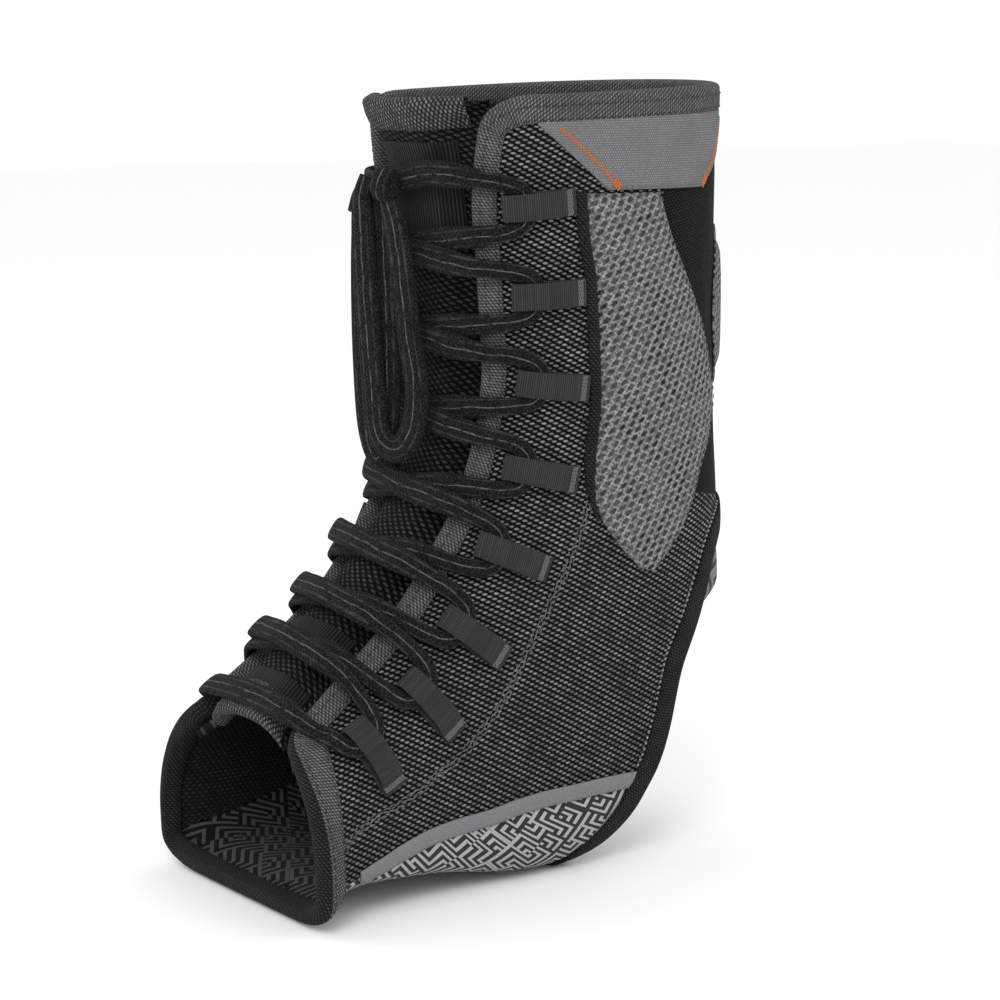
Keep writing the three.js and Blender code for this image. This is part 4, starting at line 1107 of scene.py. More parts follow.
@dataclass
class Shell:
    """Side panels, sole, tape and the bindings round them."""

    stitcher: Stitcher

    def panel_rear(self, row: Array) -> Array:
        """Angle of the side panel's rear edge."""
        heel = look_up(HEEL_EDGE, row)
        joint = look_up(SOLE_JOINT, row) - JOINT_OVERLAP
        return np.where(row <= HEEL_TOP, 180.0, np.where(row <= HEEL_END, heel, joint))

    def quarter(self, side: Side) -> None:
        """One side panel: coarse mesh in front, finer mesh behind the pad."""
        spans = ((COLLAR_ROW, 0.5, 14), (0.55, 3.58, 60), (HEEL_TOP, 4.3, 30), (4.34, 9.5, 100),
                 (9.55, LAST, 14))
        rows = np.concatenate([np.linspace(*span) for span in spans])
        v = np.linspace(0, 1, 96)
        row, deg = grid_between(rows, look_up(FRONT_EDGE, rows), self.panel_rear(rows), v)
        cloth = FORM.side_cloth(row, deg)
        ripple = 0.12 * np.sin(row * 5.1 + deg * 0.13) * np.sin(deg * 0.21 - row * 2.3)
        high = ripple * smooth(v * 6) * smooth((1 - v) * 6)

        def pick(r: float, d: float) -> int:
            seam = float(look_up(PAD_REAR, r))
            return 2 if abs(d) > max(seam - 2, REAR_MESH_DEG) and r < REAR_MESH_ROW else 0

        item = sheet_piece(f"quarter_{side.word}_cloth", row, deg * side.value, -QUARTER_THICK, high, cloth,
                           [Finish.QUARTER, Finish.LINING, Finish.REAR], pick)
        settle(item, Slot.MESH, [f"quarter_{side.word}"])

    def edge_binding(self, side: Side) -> None:
        """Tape over the collar and down the lacing edge."""
        collar = np.linspace(180.0, FRONT_EDGE[0][1], 70)[:-1]
        down = np.concatenate([np.linspace(COLLAR_ROW, 0.5, 30), np.linspace(0.54, LACING_TAPE_END, 150)])
        row = np.concatenate([np.full(len(collar), COLLAR_ROW), down])
        deg = np.concatenate([collar, look_up(FRONT_EDGE, down)])
        row, deg = self.rounded(row, deg, 4)
        leg = mix(COLLAR_LEG, BINDING_LEG, smooth((row - 0.1) / 0.5))
        tape = Binding(f"edge_tape_{side.word}", row, deg * side.value, QUARTER_THICK, leg, INNER_LEG, False,
                       (f"edge_binding_{side.word}",))
        if side is Side.FAR:
            tape.row, tape.deg, tape.outer_leg = tape.row[::-1], tape.deg[::-1], leg[::-1]
        tape.build()
        lines = [tape.inset(1.6, 1.42), tape.inset(tape.outer_leg - SEWN_BACK, SEWN_LOW)]
        self.stitcher.sew(f"edge_stitches_{side.word}", lines, TAPE_SEAM, Finish.DARK_THREAD, Slot.BINDING)

    def rounded(self, row: Array, deg: Array, passes: int) -> Place:
        """Path with its corners eased, its ends held."""
        r, d = row.copy(), deg.copy()
        for _ in range(passes):
            r[1:-1] = (r[:-2] + 2 * r[1:-1] + r[2:]) / 4
            d[1:-1] = (d[:-2] + 2 * d[1:-1] + d[2:]) / 4
        return r, d

    def toe_binding(self) -> None:
        """Tape round the toe opening; its fold and inner leg are darkened as painted shade."""
        rows = np.linspace(TOE_TAPE_TOP, LAST, 40)
        front = look_up(FRONT_EDGE, rows)
        bottom = np.linspace(FRONT_EDGE[-1][1], 180, 90)[1:]
        row = np.concatenate([rows, np.full(len(bottom), float(LAST))])
        deg = np.concatenate([front, bottom])
        row, deg = self.rounded(row, deg, 3)
        row = np.concatenate([row, row[::-1][1:]])
        deg = np.concatenate([deg, 360 - deg[::-1][1:]])
        leg = mix(BINDING_LEG, TOE_LEG, smooth((row - 9.2) / 0.7))
        # The fold and inner leg inside the toe opening take the dark binding finish as painted shade
        tape = Binding("toe_tape", row, deg, QUARTER_THICK, leg, INNER_LEG, False, ("toe_binding",),
                       nose=Finish.DARK_BINDING)
        tape.build()
        lines = [tape.inset(tape.outer_leg - SEWN_BACK, SEWN_LOW), tape.inset(1.4, SEWN_LIFT)]
        self.stitcher.sew("toe_stitches", lines, TAPE_SEAM, Finish.DARK_THREAD, Slot.BINDING)

    def heel_loop(self) -> Place:
        """Section positions and angles round the heel opening."""
        half = list(HEEL_EDGE[:-1]) + list(SOLE_REAR)
        near = np.array(half, float)
        far = np.array([(r, 360 - d) for r, d in reversed(half[1:-1])], float)
        path = spline_points(np.vstack([near, far]), 280, True)
        return path[::-1, 0], path[::-1, 1]

    def heel_binding(self) -> None:
        """Tape round the heel opening, with a row of light stitches beside it."""
        row, deg = self.heel_loop()
        tape = Binding("heel_tape", row, deg, QUARTER_THICK, np.full(len(row), HEEL_LEG), INNER_LEG, True,
                       ("heel_binding",), Finish.DARK_BINDING)
        tape.build()
        rows = np.linspace(3.8, 6.0, 60)
        degs = look_up(HEEL_EDGE, rows)
        r, d = FORM.walk(rows, degs, across_path(rows, degs), np.full(len(rows), HEEL_LEG + 0.6))
        lines = [form_path(r, d * side.value, 0.25) for side in Side]
        self.stitcher.sew("heel_dots", lines, HEEL_SEAM, Finish.LIGHT_THREAD, Slot.BINDING)

    def sole(self) -> None:
        """Printed stretch panel under the foot."""
        v = np.linspace(0, 1, 121)
        v = 0.5 + 0.5 * np.sign(v - 0.5) * np.abs(2 * v - 1) ** 0.9
        half = np.minimum(v, 1 - v) * 2
        start = mix(SOLE_REAR[0][1] + JOINT_OVERLAP, 180.0, half**0.75)
        table = np.array(SOLE_REAR)
        rear_row = np.interp(start, table[:, 1], table[:, 0])
        rear_deg = np.where(v > 0.5, 360 - start, start)
        u = np.linspace(0, 1, 70)[:, None]
        row = mix(rear_row[None], float(LAST), u)

        def across(r: Array) -> Array:
            edge = look_up(SOLE_JOINT, r) + JOINT_OVERLAP
            return mix(edge, 360 - edge, v[None] * np.ones_like(r))

        shift = (rear_deg[None] - across(rear_row[None])) * (1 - u) ** 4
        deg = across(row) + shift
        cloth = FORM.middle_cloth(row, deg, 180.0)
        # The inner face takes the darkened print as painted shade
        item = sheet_piece("sole_print", row, deg, -SOLE_THICK, 0.0, cloth, [Finish.SOLE_OUT, Finish.SOLE_IN])
        settle(item, Slot.PRINT, ["sole_panel"])

    def sole_tape(self, side: Side) -> None:
        """Grey tape over the seam of side panel and sole."""
        rows = np.linspace(TAPE_TOP, TAPE_END, 80)
        degs = look_up(SOLE_JOINT, rows)
        across = across_path(rows, degs)
        v = np.linspace(-0.5, 0.5, 7)
        row, deg = np.zeros((len(rows), len(v))), np.zeros((len(rows), len(v)))
        for k, share in enumerate(v):
            row[:, k], deg[:, k] = FORM.walk(rows, degs, across, np.full(len(rows), share * TAPE_WIDTH))
        run = run_along(FORM.point(rows, degs))
        cloth = np.stack(np.broadcast_arrays(v[None] * TAPE_WIDTH, run[:, None]), -1) * MM
        high = 0.75 + 0.2 * np.cos(v * math.pi)[None] * np.ones_like(row)
        item = sheet_piece(f"sole_ribbon_{side.word}", row, deg * side.value, CLEARANCE, high, cloth,
                           [Finish.TAPE])
        settle(item, Slot.ELASTIC, [f"sole_tape_{side.word}"])

    def loop_seam(self, side: Side) -> None:
        """Zigzag over the side panel behind the loops, from the toe to the ankle."""
        path = spline_points(np.array(SEAM_PATH), 90)
        lines = [zigzag(path[:, 0], path[:, 1] * side.value, 0.2, 2.6, 1.1)]
        self.stitcher.sew(f"loop_zigzag_{side.word}", lines, ZIGZAG_SEAM, Finish.GREY_THREAD, Slot.MESH)

    def gusset(self) -> None:
        """Printed stretch piece below the back of the leg."""
        rows = np.linspace(GUSSET_TOP, GUSSET_END, 40)
        edge = np.minimum(146, look_up(HEEL_EDGE, rows)) - 2
        row, deg = grid_between(rows, edge, 360 - edge, np.linspace(0, 1, 60))
        inside = look_up(HEEL_EDGE, row) + 4
        across = smooth((180 - np.abs(deg - 180) - inside) / 20)
        high = -5.2 + 7.0 * across * smooth((row - HEEL_TOP) / 0.35) * smooth((GUSSET_END - row) / 0.4)
        cloth = FORM.middle_cloth(row, deg, 180.0)
        # The inner face takes the darkened print as painted shade
        item = sheet_piece("heel_print", row, deg, high - 1, high, cloth, [Finish.GUSSET_OUT, Finish.SOLE_IN])
        settle(item, Slot.PRINT, ["heel_gusset"])

    def build(self) -> None:
        """Builds the whole shell."""
        for side in Side:
            self.quarter(side)
            self.edge_binding(side)
            self.sole_tape(side)
            self.loop_seam(side)
        self.toe_binding()
        self.heel_binding()
        self.sole()
        self.gusset()


@dataclass
class Pads:
    """Soft pads and the elastic tabs over them."""

    stitcher: Stitcher

    def side_pad(self, side: Side) -> None:
        """Crowned air mesh pad over the ankle bone, with a sewn border."""
        rows = np.linspace(PAD_TOP, PAD_END, 90)
        v = np.linspace(0, 1, 40)
        row, deg = grid_between(rows, look_up(PAD_FRONT, rows), look_up(PAD_REAR, rows), v)
        ends = smooth(np.minimum(rows - PAD_TOP, PAD_END - rows) / 0.12)[:, None]
        rim = smooth(np.minimum(v, 1 - v) / 0.10)[None] * ends
        crown = np.sin(math.pi * v)[None] * np.sin(math.pi * (rows - PAD_TOP) / (PAD_END - PAD_TOP))[:, None]
        high = CLEARANCE + 0.45 + (PAD_THICK - 0.75) * rim + 0.3 * crown
        cloth = FORM.side_cloth(row, deg)
        item = sheet_piece(f"side_cushion_{side.word}", row, deg * side.value, CLEARANCE, high, cloth,
                           [Finish.PAD])
        settle(item, Slot.AIR, [f"side_pad_{side.word}"])
        edge = np.vstack([np.stack([row[:, 1], deg[:, 1]], -1), np.stack([row[::-1, -2], deg[::-1, -2]], -1)])
        line = form_path(edge[:, 0], edge[:, 1] * side.value, 1.35)
        self.stitcher.sew(f"cushion_stitches_{side.word}", [line], PAD_SEAM, Finish.GREY_THREAD, Slot.AIR)

    def seam_strip(self, side: Side) -> None:
        """Dark rounded strip along the pad's front edge, over the ends of the loops."""
        rows = np.linspace(0.84, 4.0, 90)
        v = np.linspace(0, 1, 9)
        width = 3.6 * (1 - 0.55 * smooth((rows - 3.3) / 0.7))
        row = np.repeat(rows[:, None], len(v), 1)
        deg = look_up(PAD_FRONT, rows)[:, None] - 0.3 - width[:, None] * (1 - v[None])
        high = CLEARANCE + 0.9 + 0.75 * np.sin(math.pi * v)[None] * smooth((4.0 - rows) / 0.4)[:, None]
        cloth = FORM.side_cloth(row, deg)
        item = sheet_piece(f"pad_strip_{side.word}", row, deg * side.value, 0.05, high, cloth,
                           [Finish.DARK_BINDING])
        settle(item, Slot.BINDING)

    def tab(self, side: Side) -> None:
        """Grey elastic tab under the collar with two orange stitch lines."""
        length = float(np.linalg.norm(FORM.slopes(COLLAR_ROW, 90.0)[0]))
        top = COLLAR_ROW + (COLLAR_LEG - 0.4) / length
        rows = np.linspace(top, TAB_END, 24)
        v = np.linspace(0, 1, 60)
        row, deg = grid_between(rows, look_up(TAB_FRONT, rows), look_up(TAB_REAR, rows), v)
        edge = smooth(np.minimum(v, 1 - v) / 0.03)[None] * smooth((TAB_END - rows) / 0.03)[:, None]
        high = CLEARANCE + TAB_THICK * (0.7 + 0.35 * edge)
        cloth = FORM.side_cloth(row, deg)
        item = sheet_piece(f"elastic_tab_{side.word}", row, deg * side.value, CLEARANCE + 0.1, high, cloth,
                           [Finish.TAB])
        settle(item, Slot.ELASTIC, [f"pad_tab_{side.word}"])
        ways = (((0.28, 64), (0.81, 83)), ((0.28, 144), (0.81, 121)))
        lines, ends = [], []
        for (r1, d1), (r2, d2) in ways:
            t = np.linspace(0, 1, 30)
            lines.append(zigzag(mix(r1, r2, t), mix(d1, d2, t) * side.value, 1.2, 1.15, 0.55))
            t = np.linspace(0.9, 1, 8)
            ends.append(zigzag(mix(r1, r2, t), mix(d1, d2, t) * side.value, 1.28, 1.5, 0.3))
        border = form_path(row[-2], deg[-2] * side.value, 1.18)
        for name, paths, seam, thread in (("orange_stitches", lines, ORANGE_SEAM, Finish.ORANGE_THREAD),
                                          ("orange_bars", ends, BAR_SEAM, Finish.ORANGE_THREAD),
                                          ("tab_stitches", [border], TAB_SEAM, Finish.GREY_THREAD)):
            self.stitcher.sew(f"{name}_{side.word}", paths, seam, thread, Slot.ELASTIC)

    def achilles(self) -> None:
        """Crowned air mesh pad at the back of the leg."""
        rows = np.linspace(ACHILLES_TOP, ACHILLES_END, 50)
        v = np.linspace(0, 1, 60)
        reach = 41 - 13 * np.abs((rows - 1.85) / 0.68) ** 2.5
        row, turn = grid_between(rows, -reach, reach, v)
        deg = 180 + turn
        side = smooth(np.minimum(v, 1 - v) / 0.2)[None]
        end = smooth(np.minimum(rows - ACHILLES_TOP, ACHILLES_END - rows) / 0.25)[:, None]
        high = CLEARANCE + 0.6 + 2.6 * side * end
        item = sheet_piece("achilles_cushion", row, deg, CLEARANCE, high, FORM.middle_cloth(row, deg, 180.0),
                           [Finish.PAD])
        settle(item, Slot.AIR, ["achilles_pad"])

    def back_seam(self, name: str, start: float, end: float) -> None:
        """Narrow strip over the seam at the back of the leg."""
        rows = np.linspace(start, end, 30)
        v = np.linspace(175, 185, 9)
        row, deg = np.meshgrid(rows, v, indexing="ij")
        high = 0.55 + 0.4 * np.sin(math.pi * (deg - 175) / 10)
        item = sheet_piece(f"{name}_strip", row, deg, CLEARANCE, high, FORM.middle_cloth(row, deg, 180.0),
                           [Finish.DARK_BINDING])
        settle(item, Slot.MESH, [name])

    def build(self) -> None:
        """Builds every pad and tab."""
        for side in Side:
            self.side_pad(side)
            self.seam_strip(side)
            self.tab(side)
        self.achilles()
        self.back_seam("back_seam_upper", 0.32, 1.12)
        self.back_seam("back_seam_lower", 2.57, 3.3)


class Tongue:
    """Tongue with its mesh hem and ribbed patches."""

    half_deg = 42.0

    def lift(self, row: Array, deg: Array) -> Array:
        """Lift of the tongue's outer face: it flares out at the top and tucks in at the sides."""
        side = smooth((np.abs(deg) - 14) / 15)
        flare = TONGUE_FLARE * smooth((0.6 - row) / 0.56)
        free = smooth((look_up(FRONT_EDGE, row) - 7 - np.abs(deg)) / 9)
        return mix(TONGUE_MIDDLE + flare, TONGUE_SIDE + 5 * free * smooth((0.5 - row) / 0.45), side)

    def grid(self, rows: Array, reach: float, count: int) -> Place:
        """Grid of places on the tongue."""
        return tuple(np.meshgrid(rows, np.linspace(-reach, reach, count), indexing="ij"))

    def panel(self) -> None:
        """The tongue itself."""
        rows = np.concatenate([np.linspace(COLLAR_ROW, 0.6, 24), np.linspace(0.65, TONGUE_END, 150)])
        row, deg = self.grid(rows, self.half_deg, 70)
        high = self.lift(row, deg)
        cloth = FORM.middle_cloth(row, deg, 0.0)
        item = sheet_piece("tongue_cloth", row, deg, high - TONGUE_THICK, high, cloth,
                           [Finish.TONGUE, Finish.LINING])
        settle(item, Slot.MESH, ["tongue"])

    def hem(self, name: str, edge: float, way: float, reach: float, legs: tuple[float, float]) -> Item:
        """Mesh hem folded over one end of the tongue.

        Args:
            name: Name of the piece.
            edge: Section position of the tongue's end.
            way: 1 where the hem runs to higher positions, -1 where it runs to lower ones.
            reach: Angle to which the hem goes on both sides.
            legs: Lengths of the outer and the inner leg.

        Returns:
            The hem.
        """
        gap = CLEARANCE + 0.2
        top = gap + BINDING_THICK
        under = -TONGUE_THICK
        degs = np.linspace(-reach, reach, 60)
        length = np.linalg.norm(FORM.slopes(np.full(len(degs), edge), degs)[0], axis=-1)
        outer, inner = legs
        profile = [(outer, gap), (outer, top - 0.3), (outer - 0.5, top), (outer * 0.7, top + 0.1),
                   (outer * 0.4, top + 0.1), (outer * 0.1, top)]
        middle = under / 2
        for a in np.linspace(math.pi / 2, -math.pi / 2, 7):
            profile.append((-1.6 * math.cos(a), middle + (top - middle) * math.sin(a)))
        profile += [(inner * 0.5, under - top), (inner, under - top + 0.3), (inner, under - gap),
                    (-0.8, under - gap), (-0.8, gap)]
        rings = np.zeros((len(degs), len(profile), 3))
        for k, (share, lift) in enumerate(profile):
            row = edge + way * share / length
            held = np.maximum(row, edge) if way > 0 else np.minimum(row, edge)
            rings[:, k] = FORM.lifted(row, degs, lift + self.lift(held, degs))
        return tube_piece(name, to_world(rings), [Finish.HEM])

    def patch(self, node: str, start: float, end: float, reach: float) -> None:
        """One ribbed elastic patch."""
        row, deg = self.grid(np.linspace(start, end, 24), reach, 40)
        base = self.lift(row, deg) + CLEARANCE
        edge = smooth((reach - np.abs(deg)) / 2) * smooth(np.minimum(row - start, end - row) / 0.03)
        item = sheet_piece(f"{node}_rib", row, deg, base, base + 0.3 + 0.25 * edge,
                           FORM.middle_cloth(row, deg, 0.0), [Finish.ELASTIC])
        settle(item, Slot.RIBBED, [node])

    def build(self) -> None:
        """Builds the tongue."""
        self.panel()
        top = self.hem("tongue_hem", COLLAR_ROW, 1.0, 34.0, (TONGUE_HEM, 5.8))
        settle(top, Slot.BINDING, ["tongue_binding"])
        settle(self.hem("tongue_toe_hem", TONGUE_END, -1.0, 26.0, (6.0, 4.0)), Slot.BINDING)
        self.patch("tongue_panel", 0.42, 1.3, 27)
        self.patch("tongue_elastic_upper", 6.75, 7.35, 27)
        self.patch("tongue_elastic_lower", 8.15, 8.7, 27)


@dataclass
class Lacing:
    """Webbing loops, the laced run, the knot and the bow."""

    stitcher: Stitcher

    def chart(self, loop: LoopPlace) -> tuple[Callable[[Array, Array], Place], float]:
        """Millimetre chart at a loop: to its rear end and down the lacing."""
        front = FORM.point(loop.front_row, loop.front_deg)
        rear = FORM.point(loop.rear_row, loop.rear_deg)
        length = float(np.linalg.norm(rear - front))
        normal = FORM.normal(np.array(loop.front_row), np.array(loop.front_deg))
        a = rear - front
        a = a - normal * (a @ normal)
        a /= np.linalg.norm(a)
        b = np.cross(a, normal)
        if b @ FORM.slopes(np.array(loop.front_row), np.array(loop.front_deg))[0] < 0:
            b = -b

        def at(x: Array, y: Array) -> Place:
            x, y = np.broadcast_arrays(np.asarray(x, float), np.asarray(y, float))
            way = x[..., None] * a + y[..., None] * b
            far = np.linalg.norm(way, axis=-1)
            unit = way / np.maximum(far, 1e-9)[..., None]
            return FORM.walk(np.full(x.shape, loop.front_row), np.full(x.shape, loop.front_deg), unit, far, 5)

        return at, length

    def webbing_loop(self, loop: LoopPlace, side: Side, number: int) -> list[Array]:
        """One folded webbing loop; returns the path of its sewn bar."""
        at, length = self.chart(loop)
        low = CLEARANCE
        crown = LACE_LIFT + LACE_THICK / 2 + 2 * CLEARANCE
        sewn = low + WEBBING_THICK + 0.15
        thick = WEBBING_THICK
        route = [(length, low + thick / 2), (length * 0.7, low + thick / 2), (length * 0.38, low + thick / 2),
                 (2.2, low + thick / 2), (1.0, low + thick / 2 + 0.15), (0.35, mix(low, crown, 0.35)),
                 (0.2, mix(low, crown, 0.62)), (0.6, crown - 0.1), (1.7, crown + thick / 2),
                 (4.5, crown + thick / 2 + 0.15), (8.6, crown + thick / 2 - 0.1),
                 (length - 6.2, mix(crown, sewn, 0.4) + thick / 2), (length - 3.2, sewn + thick / 2 + 0.45),
                 (length - 2.6, sewn + thick / 2), (length, sewn + thick / 2 - 0.2)]
        path = spline_points(np.array(route), 64)
        path[:, 1] = np.clip(path[:, 1], low + thick / 2, None)
        step = np.gradient(path, axis=0)
        step /= np.linalg.norm(step, axis=1, keepdims=True)
        flip = np.stack([-step[:, 1], step[:, 0]], -1)
        shape = flat_section(16, 6.0)
        rings = np.zeros((len(path), len(shape), 3))
        for k, (wide, up) in enumerate(shape):
            x = path[:, 0] + flip[:, 0] * up * thick / 2
            lift = path[:, 1] + flip[:, 1] * up * thick / 2
            r, d = at(x, np.full(len(x), wide * WEBBING_WIDTH / 2))
            rings[:, k] = FORM.lifted(r, d * side.value, lift)
        item = tube_piece(f"webbing_{side.word}_{number}", to_world(rings), [Finish.WEBBING])
        settle(item, Slot.WEBBING, [f"lace_loop_{side.word}_{number}"])
        count = 26
        y = np.linspace(-WEBBING_WIDTH / 2 + 0.3, WEBBING_WIDTH / 2 - 0.3, count)
        x = length - 1.9 + 0.8 * np.where(np.arange(count) % 2 == 0, 1.0, -1.0)
        r, d = at(x, y)
        return [form_path(r, d * side.value, sewn + thick + 0.02)]

    def low_lift(self, deg: Array) -> Array:
        """Lift of the lower strand."""
        return STRAND_LOW + (LACE_LIFT - STRAND_LOW) * smooth((np.abs(deg) - 12) / 19)

    def high_lift(self, deg: Array) -> Array:
        """Lift of the upper strand where the two cross."""
        return self.low_lift(deg) + (LACE_THICK + STRAND_GAP) * smooth((46 - np.abs(deg)) / 9)

    def gathered(self, deg: Array) -> Array:
        """Width of the lace, which gathers where it turns through a loop."""
        return mix(LACE_WIDTH, LACE_GATHERED, smooth((np.abs(deg) - 30) / 8))

    def turn(self, loop: LoopPlace, side: int) -> Array:
        """Stations of the turn through one loop."""
        at, _ = self.chart(loop)
        angle = np.radians([-90, -45, 0, 45, 90])
        r, d = at(TURN_RADIUS * np.cos(angle), TURN_RADIUS * np.sin(angle))
        return np.stack([r, d * side, np.full(5, LACE_LIFT), np.full(5, LACE_GATHERED)], -1)

    def strand(self, first: int) -> Array:
        """Stations of one half of the lace, from the top loop to the bottom one."""
        stations: list[Array] = []
        side = first
        for i, loop in enumerate(LOOPS):
            turn = self.turn(loop, side)
            if i > 0:
                over = (i % 2 == 0) == (first > 0)
                a, b = stations[-1][-1], turn[0]
                u = np.arange(1, 9) / 9
                deg, row = mix(a[1], b[1], u), mix(a[0], b[0], u)
                lift = self.high_lift(deg) if over else self.low_lift(deg)
                stations.append(np.stack([row, deg, lift, self.gathered(deg)], -1))
            stations.append(turn)
            side = -side
        return np.vstack(stations)

    def run(self) -> Array:
        """Stations of the whole laced run, from the knot and back to it."""
        near, far = self.strand(1), self.strand(-1)
        u = np.arange(1, 10) / 10
        deg = mix(near[-1, 1], far[-1, 1], u)
        row = mix(near[-1, 0], far[-1, 0], u) + 0.55 * np.sin(math.pi * u) ** 0.6
        bar = np.stack([row, deg, self.low_lift(deg), self.gathered(deg)], -1)
        u = np.arange(0, 8) / 8
        deg = mix(KNOT_DEG - 1, near[0, 1], u)
        row = mix(KNOT_ROW, near[0, 0], u) - 0.09 * np.sin(math.pi * u)
        lead = np.stack([row, deg, self.low_lift(deg) + 1.2, self.gathered(deg)], -1)
        u = np.arange(1, 5) / 4
        deg = mix(far[0, 1], KNOT_DEG - 5, u)
        row = mix(far[0, 0], KNOT_ROW, u)
        tail = np.stack([row, deg, np.full(4, LACE_LIFT + 0.2), np.full(4, LACE_GATHERED)], -1)
        return np.vstack([lead, near, bar, far[::-1], tail])

    def laced_run(self) -> None:
        """The laced lace as one flat braid."""
        stations = self.run()
        spots = FORM.lifted(stations[:, 0], stations[:, 1], stations[:, 2])
        normals = FORM.normal(stations[:, 0], stations[:, 1])
        joined = np.hstack([spots, normals, stations[:, 3:]])
        fine = spline_points(joined, len(stations) * 6)
        points, facing, width = fine[:, :3], fine[:, 3:6], fine[:, 6]
        facing = facing / np.linalg.norm(facing, axis=1, keepdims=True)
        rings = strip_rings(points, facing, width, LACE_THICK)
        item = tube_piece("laced_run", to_world(rings), [Finish.LACE], middle=0.5)
        settle(item, Slot.LACE, ["lace"])

    def bow_axes(self) -> tuple[Array, Array, Array]:
        """Knot's centre and the bow's right and out directions."""
        turn = math.radians(BOW_TURN)
        centre = FORM.lifted(np.array(KNOT_ROW), np.array(KNOT_DEG), np.array(KNOT_LIFT))
        right = np.array([math.cos(turn), math.sin(turn), 0.0])
        out = np.array([math.sin(turn), -math.cos(turn), 0.0])
        return centre, right, out

    def bow_path(self, table: Sequence[tuple], count: int) -> tuple[Array, Array]:
        """Points in metres and widths in millimetres along one free lace."""
        centre, right, out = self.bow_axes()
        fine = spline_points(np.array(table, float), count)
        points = centre + fine[:, :1] * right + fine[:, 1:2] * out + fine[:, 2:3] * np.array([0.0, 0.0, 1.0])
        return to_world(points), fine[:, 3]

    def free_lace(self, name: str, node: str, table: Sequence[tuple], count: int) -> tuple[Item, Array]:
        """One free lace of the bow, and the points that it follows."""
        points, width = self.bow_path(table, count)
        _, _, out = self.bow_axes()
        facing = np.repeat(out[None], len(points), 0)
        rings = strip_rings(points, facing, width * MM, LACE_THICK * MM)
        item = tube_piece(name, rings, [Finish.LACE], middle=0.5)
        return settle(item, Slot.LACE, [node]), points

    def declare(self, item: Item, points: Array) -> None:
        """Measures the length of a free lace and reads its points; nothing further is done with them."""
        length = float(np.linalg.norm(np.diff(points, axis=0), axis=1).sum())
        tuple(points[0])
        [tuple(p) for p in points]

    def knot(self) -> Item:
        """Knot: a rounded lump of lace with a wrap over its middle."""
        centre, right, out = self.bow_axes()
        up = np.array([0.0, 0.0, 1.0])
        tilt = np.linspace(-math.pi / 2, math.pi / 2, 17)[1:-1]
        turn = np.linspace(0, 2 * math.pi, 28, endpoint=False)
        rings = np.zeros((len(tilt), len(turn), 3))
        for i, t in enumerate(tilt):
            waist = 1 - 0.12 * math.cos(3 * t)
            around = (right * KNOT_HALF[0] * np.cos(turn)[:, None]
                      + out * KNOT_HALF[1] * np.sin(turn)[:, None])
            rings[i] = centre + around * math.cos(t) ** 0.6 * waist + up * KNOT_HALF[2] * math.sin(t)
        lump = tube_piece("knot_lump", to_world(rings), [Finish.LACE], middle=0.25)
        turn = np.linspace(0, 2 * math.pi, 48, endpoint=False)
        path = (centre + up * np.cos(turn)[:, None] * (KNOT_HALF[2] - 0.2)
                + out * np.sin(turn)[:, None] * (KNOT_HALF[1] + 0.1)
                + right * 0.5 * np.sin(turn * 2)[:, None])
        facing = path - centre
        facing /= np.linalg.norm(facing, axis=1, keepdims=True)
        sideways, above = frames(path, facing, True)
        shape = flat_section(14)
        wrap = (path[:, None] + sideways[:, None] * shape[None, :, :1] * 2.9
                + above[:, None] * shape[None, :, 1:] * 0.95)
        band = tube_piece("knot_wrap", to_world(wrap), [Finish.LACE], True, 0.5)
        work = bmesh.new()
        work.from_mesh(lump.data)
        work.from_mesh(band.data)
        work.to_mesh(lump.data)
        work.free()
        bpy.data.objects.remove(band)
        lump.name = "bow_knot"
        return settle(lump, Slot.LACE, ["lace_knot"])

    def build(self) -> None:
        """Builds loops, lace, knot and bow."""
        for side in Side:
            bars: list[Array] = []
            for number, loop in enumerate(LOOPS, 1):
                bars += self.webbing_loop(loop, side, number)
            self.stitcher.sew(f"loop_bars_{side.word}", bars, LOOP_SEAM, Finish.GREY_THREAD, Slot.WEBBING)
        self.laced_run()
        knot = self.knot()
        short, _ = self.free_lace("short_end", "lace_end", LACE_END, 40)
        front, front_points = self.free_lace("bow_front", "lace_bow_front", BOW_FRONT, 160)
        rear, rear_points = self.free_lace("bow_rear", "lace_bow_rear", BOW_REAR, 150)
        self.declare(front, front_points)
        self.declare(rear, rear_points)


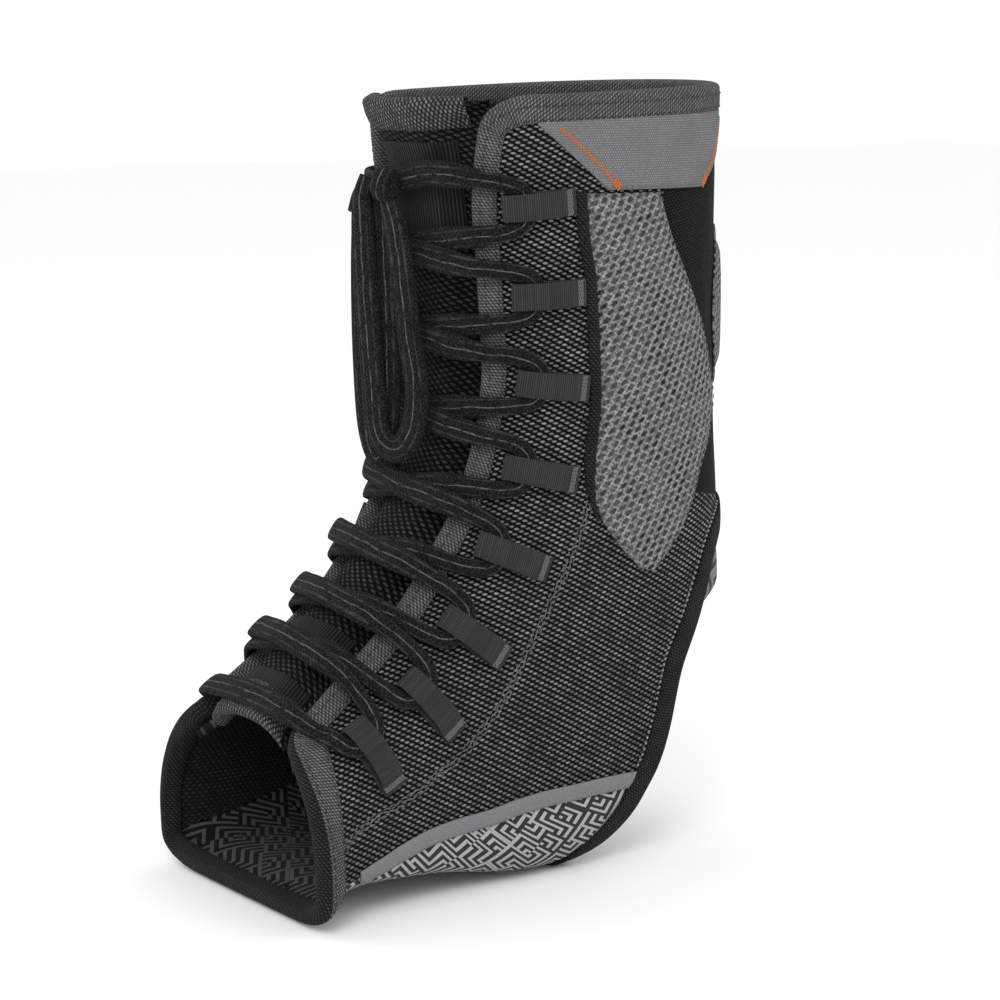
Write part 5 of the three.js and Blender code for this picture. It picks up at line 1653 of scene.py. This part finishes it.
@dataclass
class Studio:
    """Pale floor, soft light and the camera at the photograph's viewing angle."""

    azimuth: float = 55.0
    elevation: float = 9.3
    distance: float = 0.850
    target: tuple[float, float, float] = (0.0009, 0.00966, 0.1065)
    lens: float = 103.1
    floor_tone: float = 0.97
    floor_drop: float = 0.0006

    def camera(self) -> None:
        """Adds the camera."""
        a, e = math.radians(self.azimuth), math.radians(self.elevation)
        back = Vector((math.sin(a) * math.cos(e), -math.cos(a) * math.cos(e), math.sin(e)))
        data = bpy.data.cameras.new("camera")
        data.lens = self.lens
        data.sensor_width = 36.0
        data.clip_start = 0.01
        item = bpy.data.objects.new("camera", data)
        item.location = Vector(self.target) + back * self.distance
        item.rotation_euler = back.to_track_quat("Z", "Y").to_euler()
        bpy.context.scene.camera = show(item)

    def light(self, name: str, place: tuple[float, float, float], size: float, power: float) -> None:
        """Adds one soft light that points at the brace."""
        data = bpy.data.lights.new(name, "AREA")
        data.shape = "DISK"
        data.size = size
        data.energy = power
        item = bpy.data.objects.new(name, data)
        item.location = place
        item.rotation_euler = (Vector(place) - Vector(self.target)).to_track_quat("Z", "Y").to_euler()
        show(item)

    def build(self) -> None:
        """Builds floor, world, lights and camera."""
        mesh = bpy.data.meshes.new("floor")
        work = bmesh.new()
        bmesh.ops.create_grid(work, x_segments=1, y_segments=1, size=4.0)
        work.to_mesh(mesh)
        work.free()
        floor = bpy.data.objects.new("floor", mesh)
        floor.location = (0, 0, -self.floor_drop)
        paint = bpy.data.materials.new("pale floor")
        paint.use_nodes = True
        shader = paint.node_tree.nodes["Principled BSDF"]
        shader.inputs["Base Color"].default_value = (self.floor_tone, self.floor_tone, self.floor_tone, 1)
        shader.inputs["Roughness"].default_value = 0.9
        mesh.materials.append(paint)
        show(floor)
        world = bpy.data.worlds.new("soft sky")
        world.use_nodes = True
        sky = world.node_tree.nodes["Background"]
        sky.inputs["Color"].default_value = (1, 1, 1, 1)
        sky.inputs["Strength"].default_value = 1.0
        bpy.context.scene.world = world
        for lamp in (("key", (0.9, -0.9, 1.0), 0.7, 9.0), ("rim", (0.7, 1.0, 0.6), 0.6, 1.5),
                     ("fill", (-0.9, -0.7, 0.5), 0.8, 2.0)):
            self.light(*lamp)
        self.camera()


def main() -> None:
    """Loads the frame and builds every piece."""
    logging.basicConfig(level=logging.INFO, format="%(name)s: %(message)s")
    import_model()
    Studio().build()
    stitcher = Stitcher()
    Lacing(stitcher).build()
    Shell(stitcher).build()
    Pads(stitcher).build()
    Tongue().build()
    bpy.context.scene.view_settings.view_transform = "Standard"


if __name__ == "__main__":
    main()
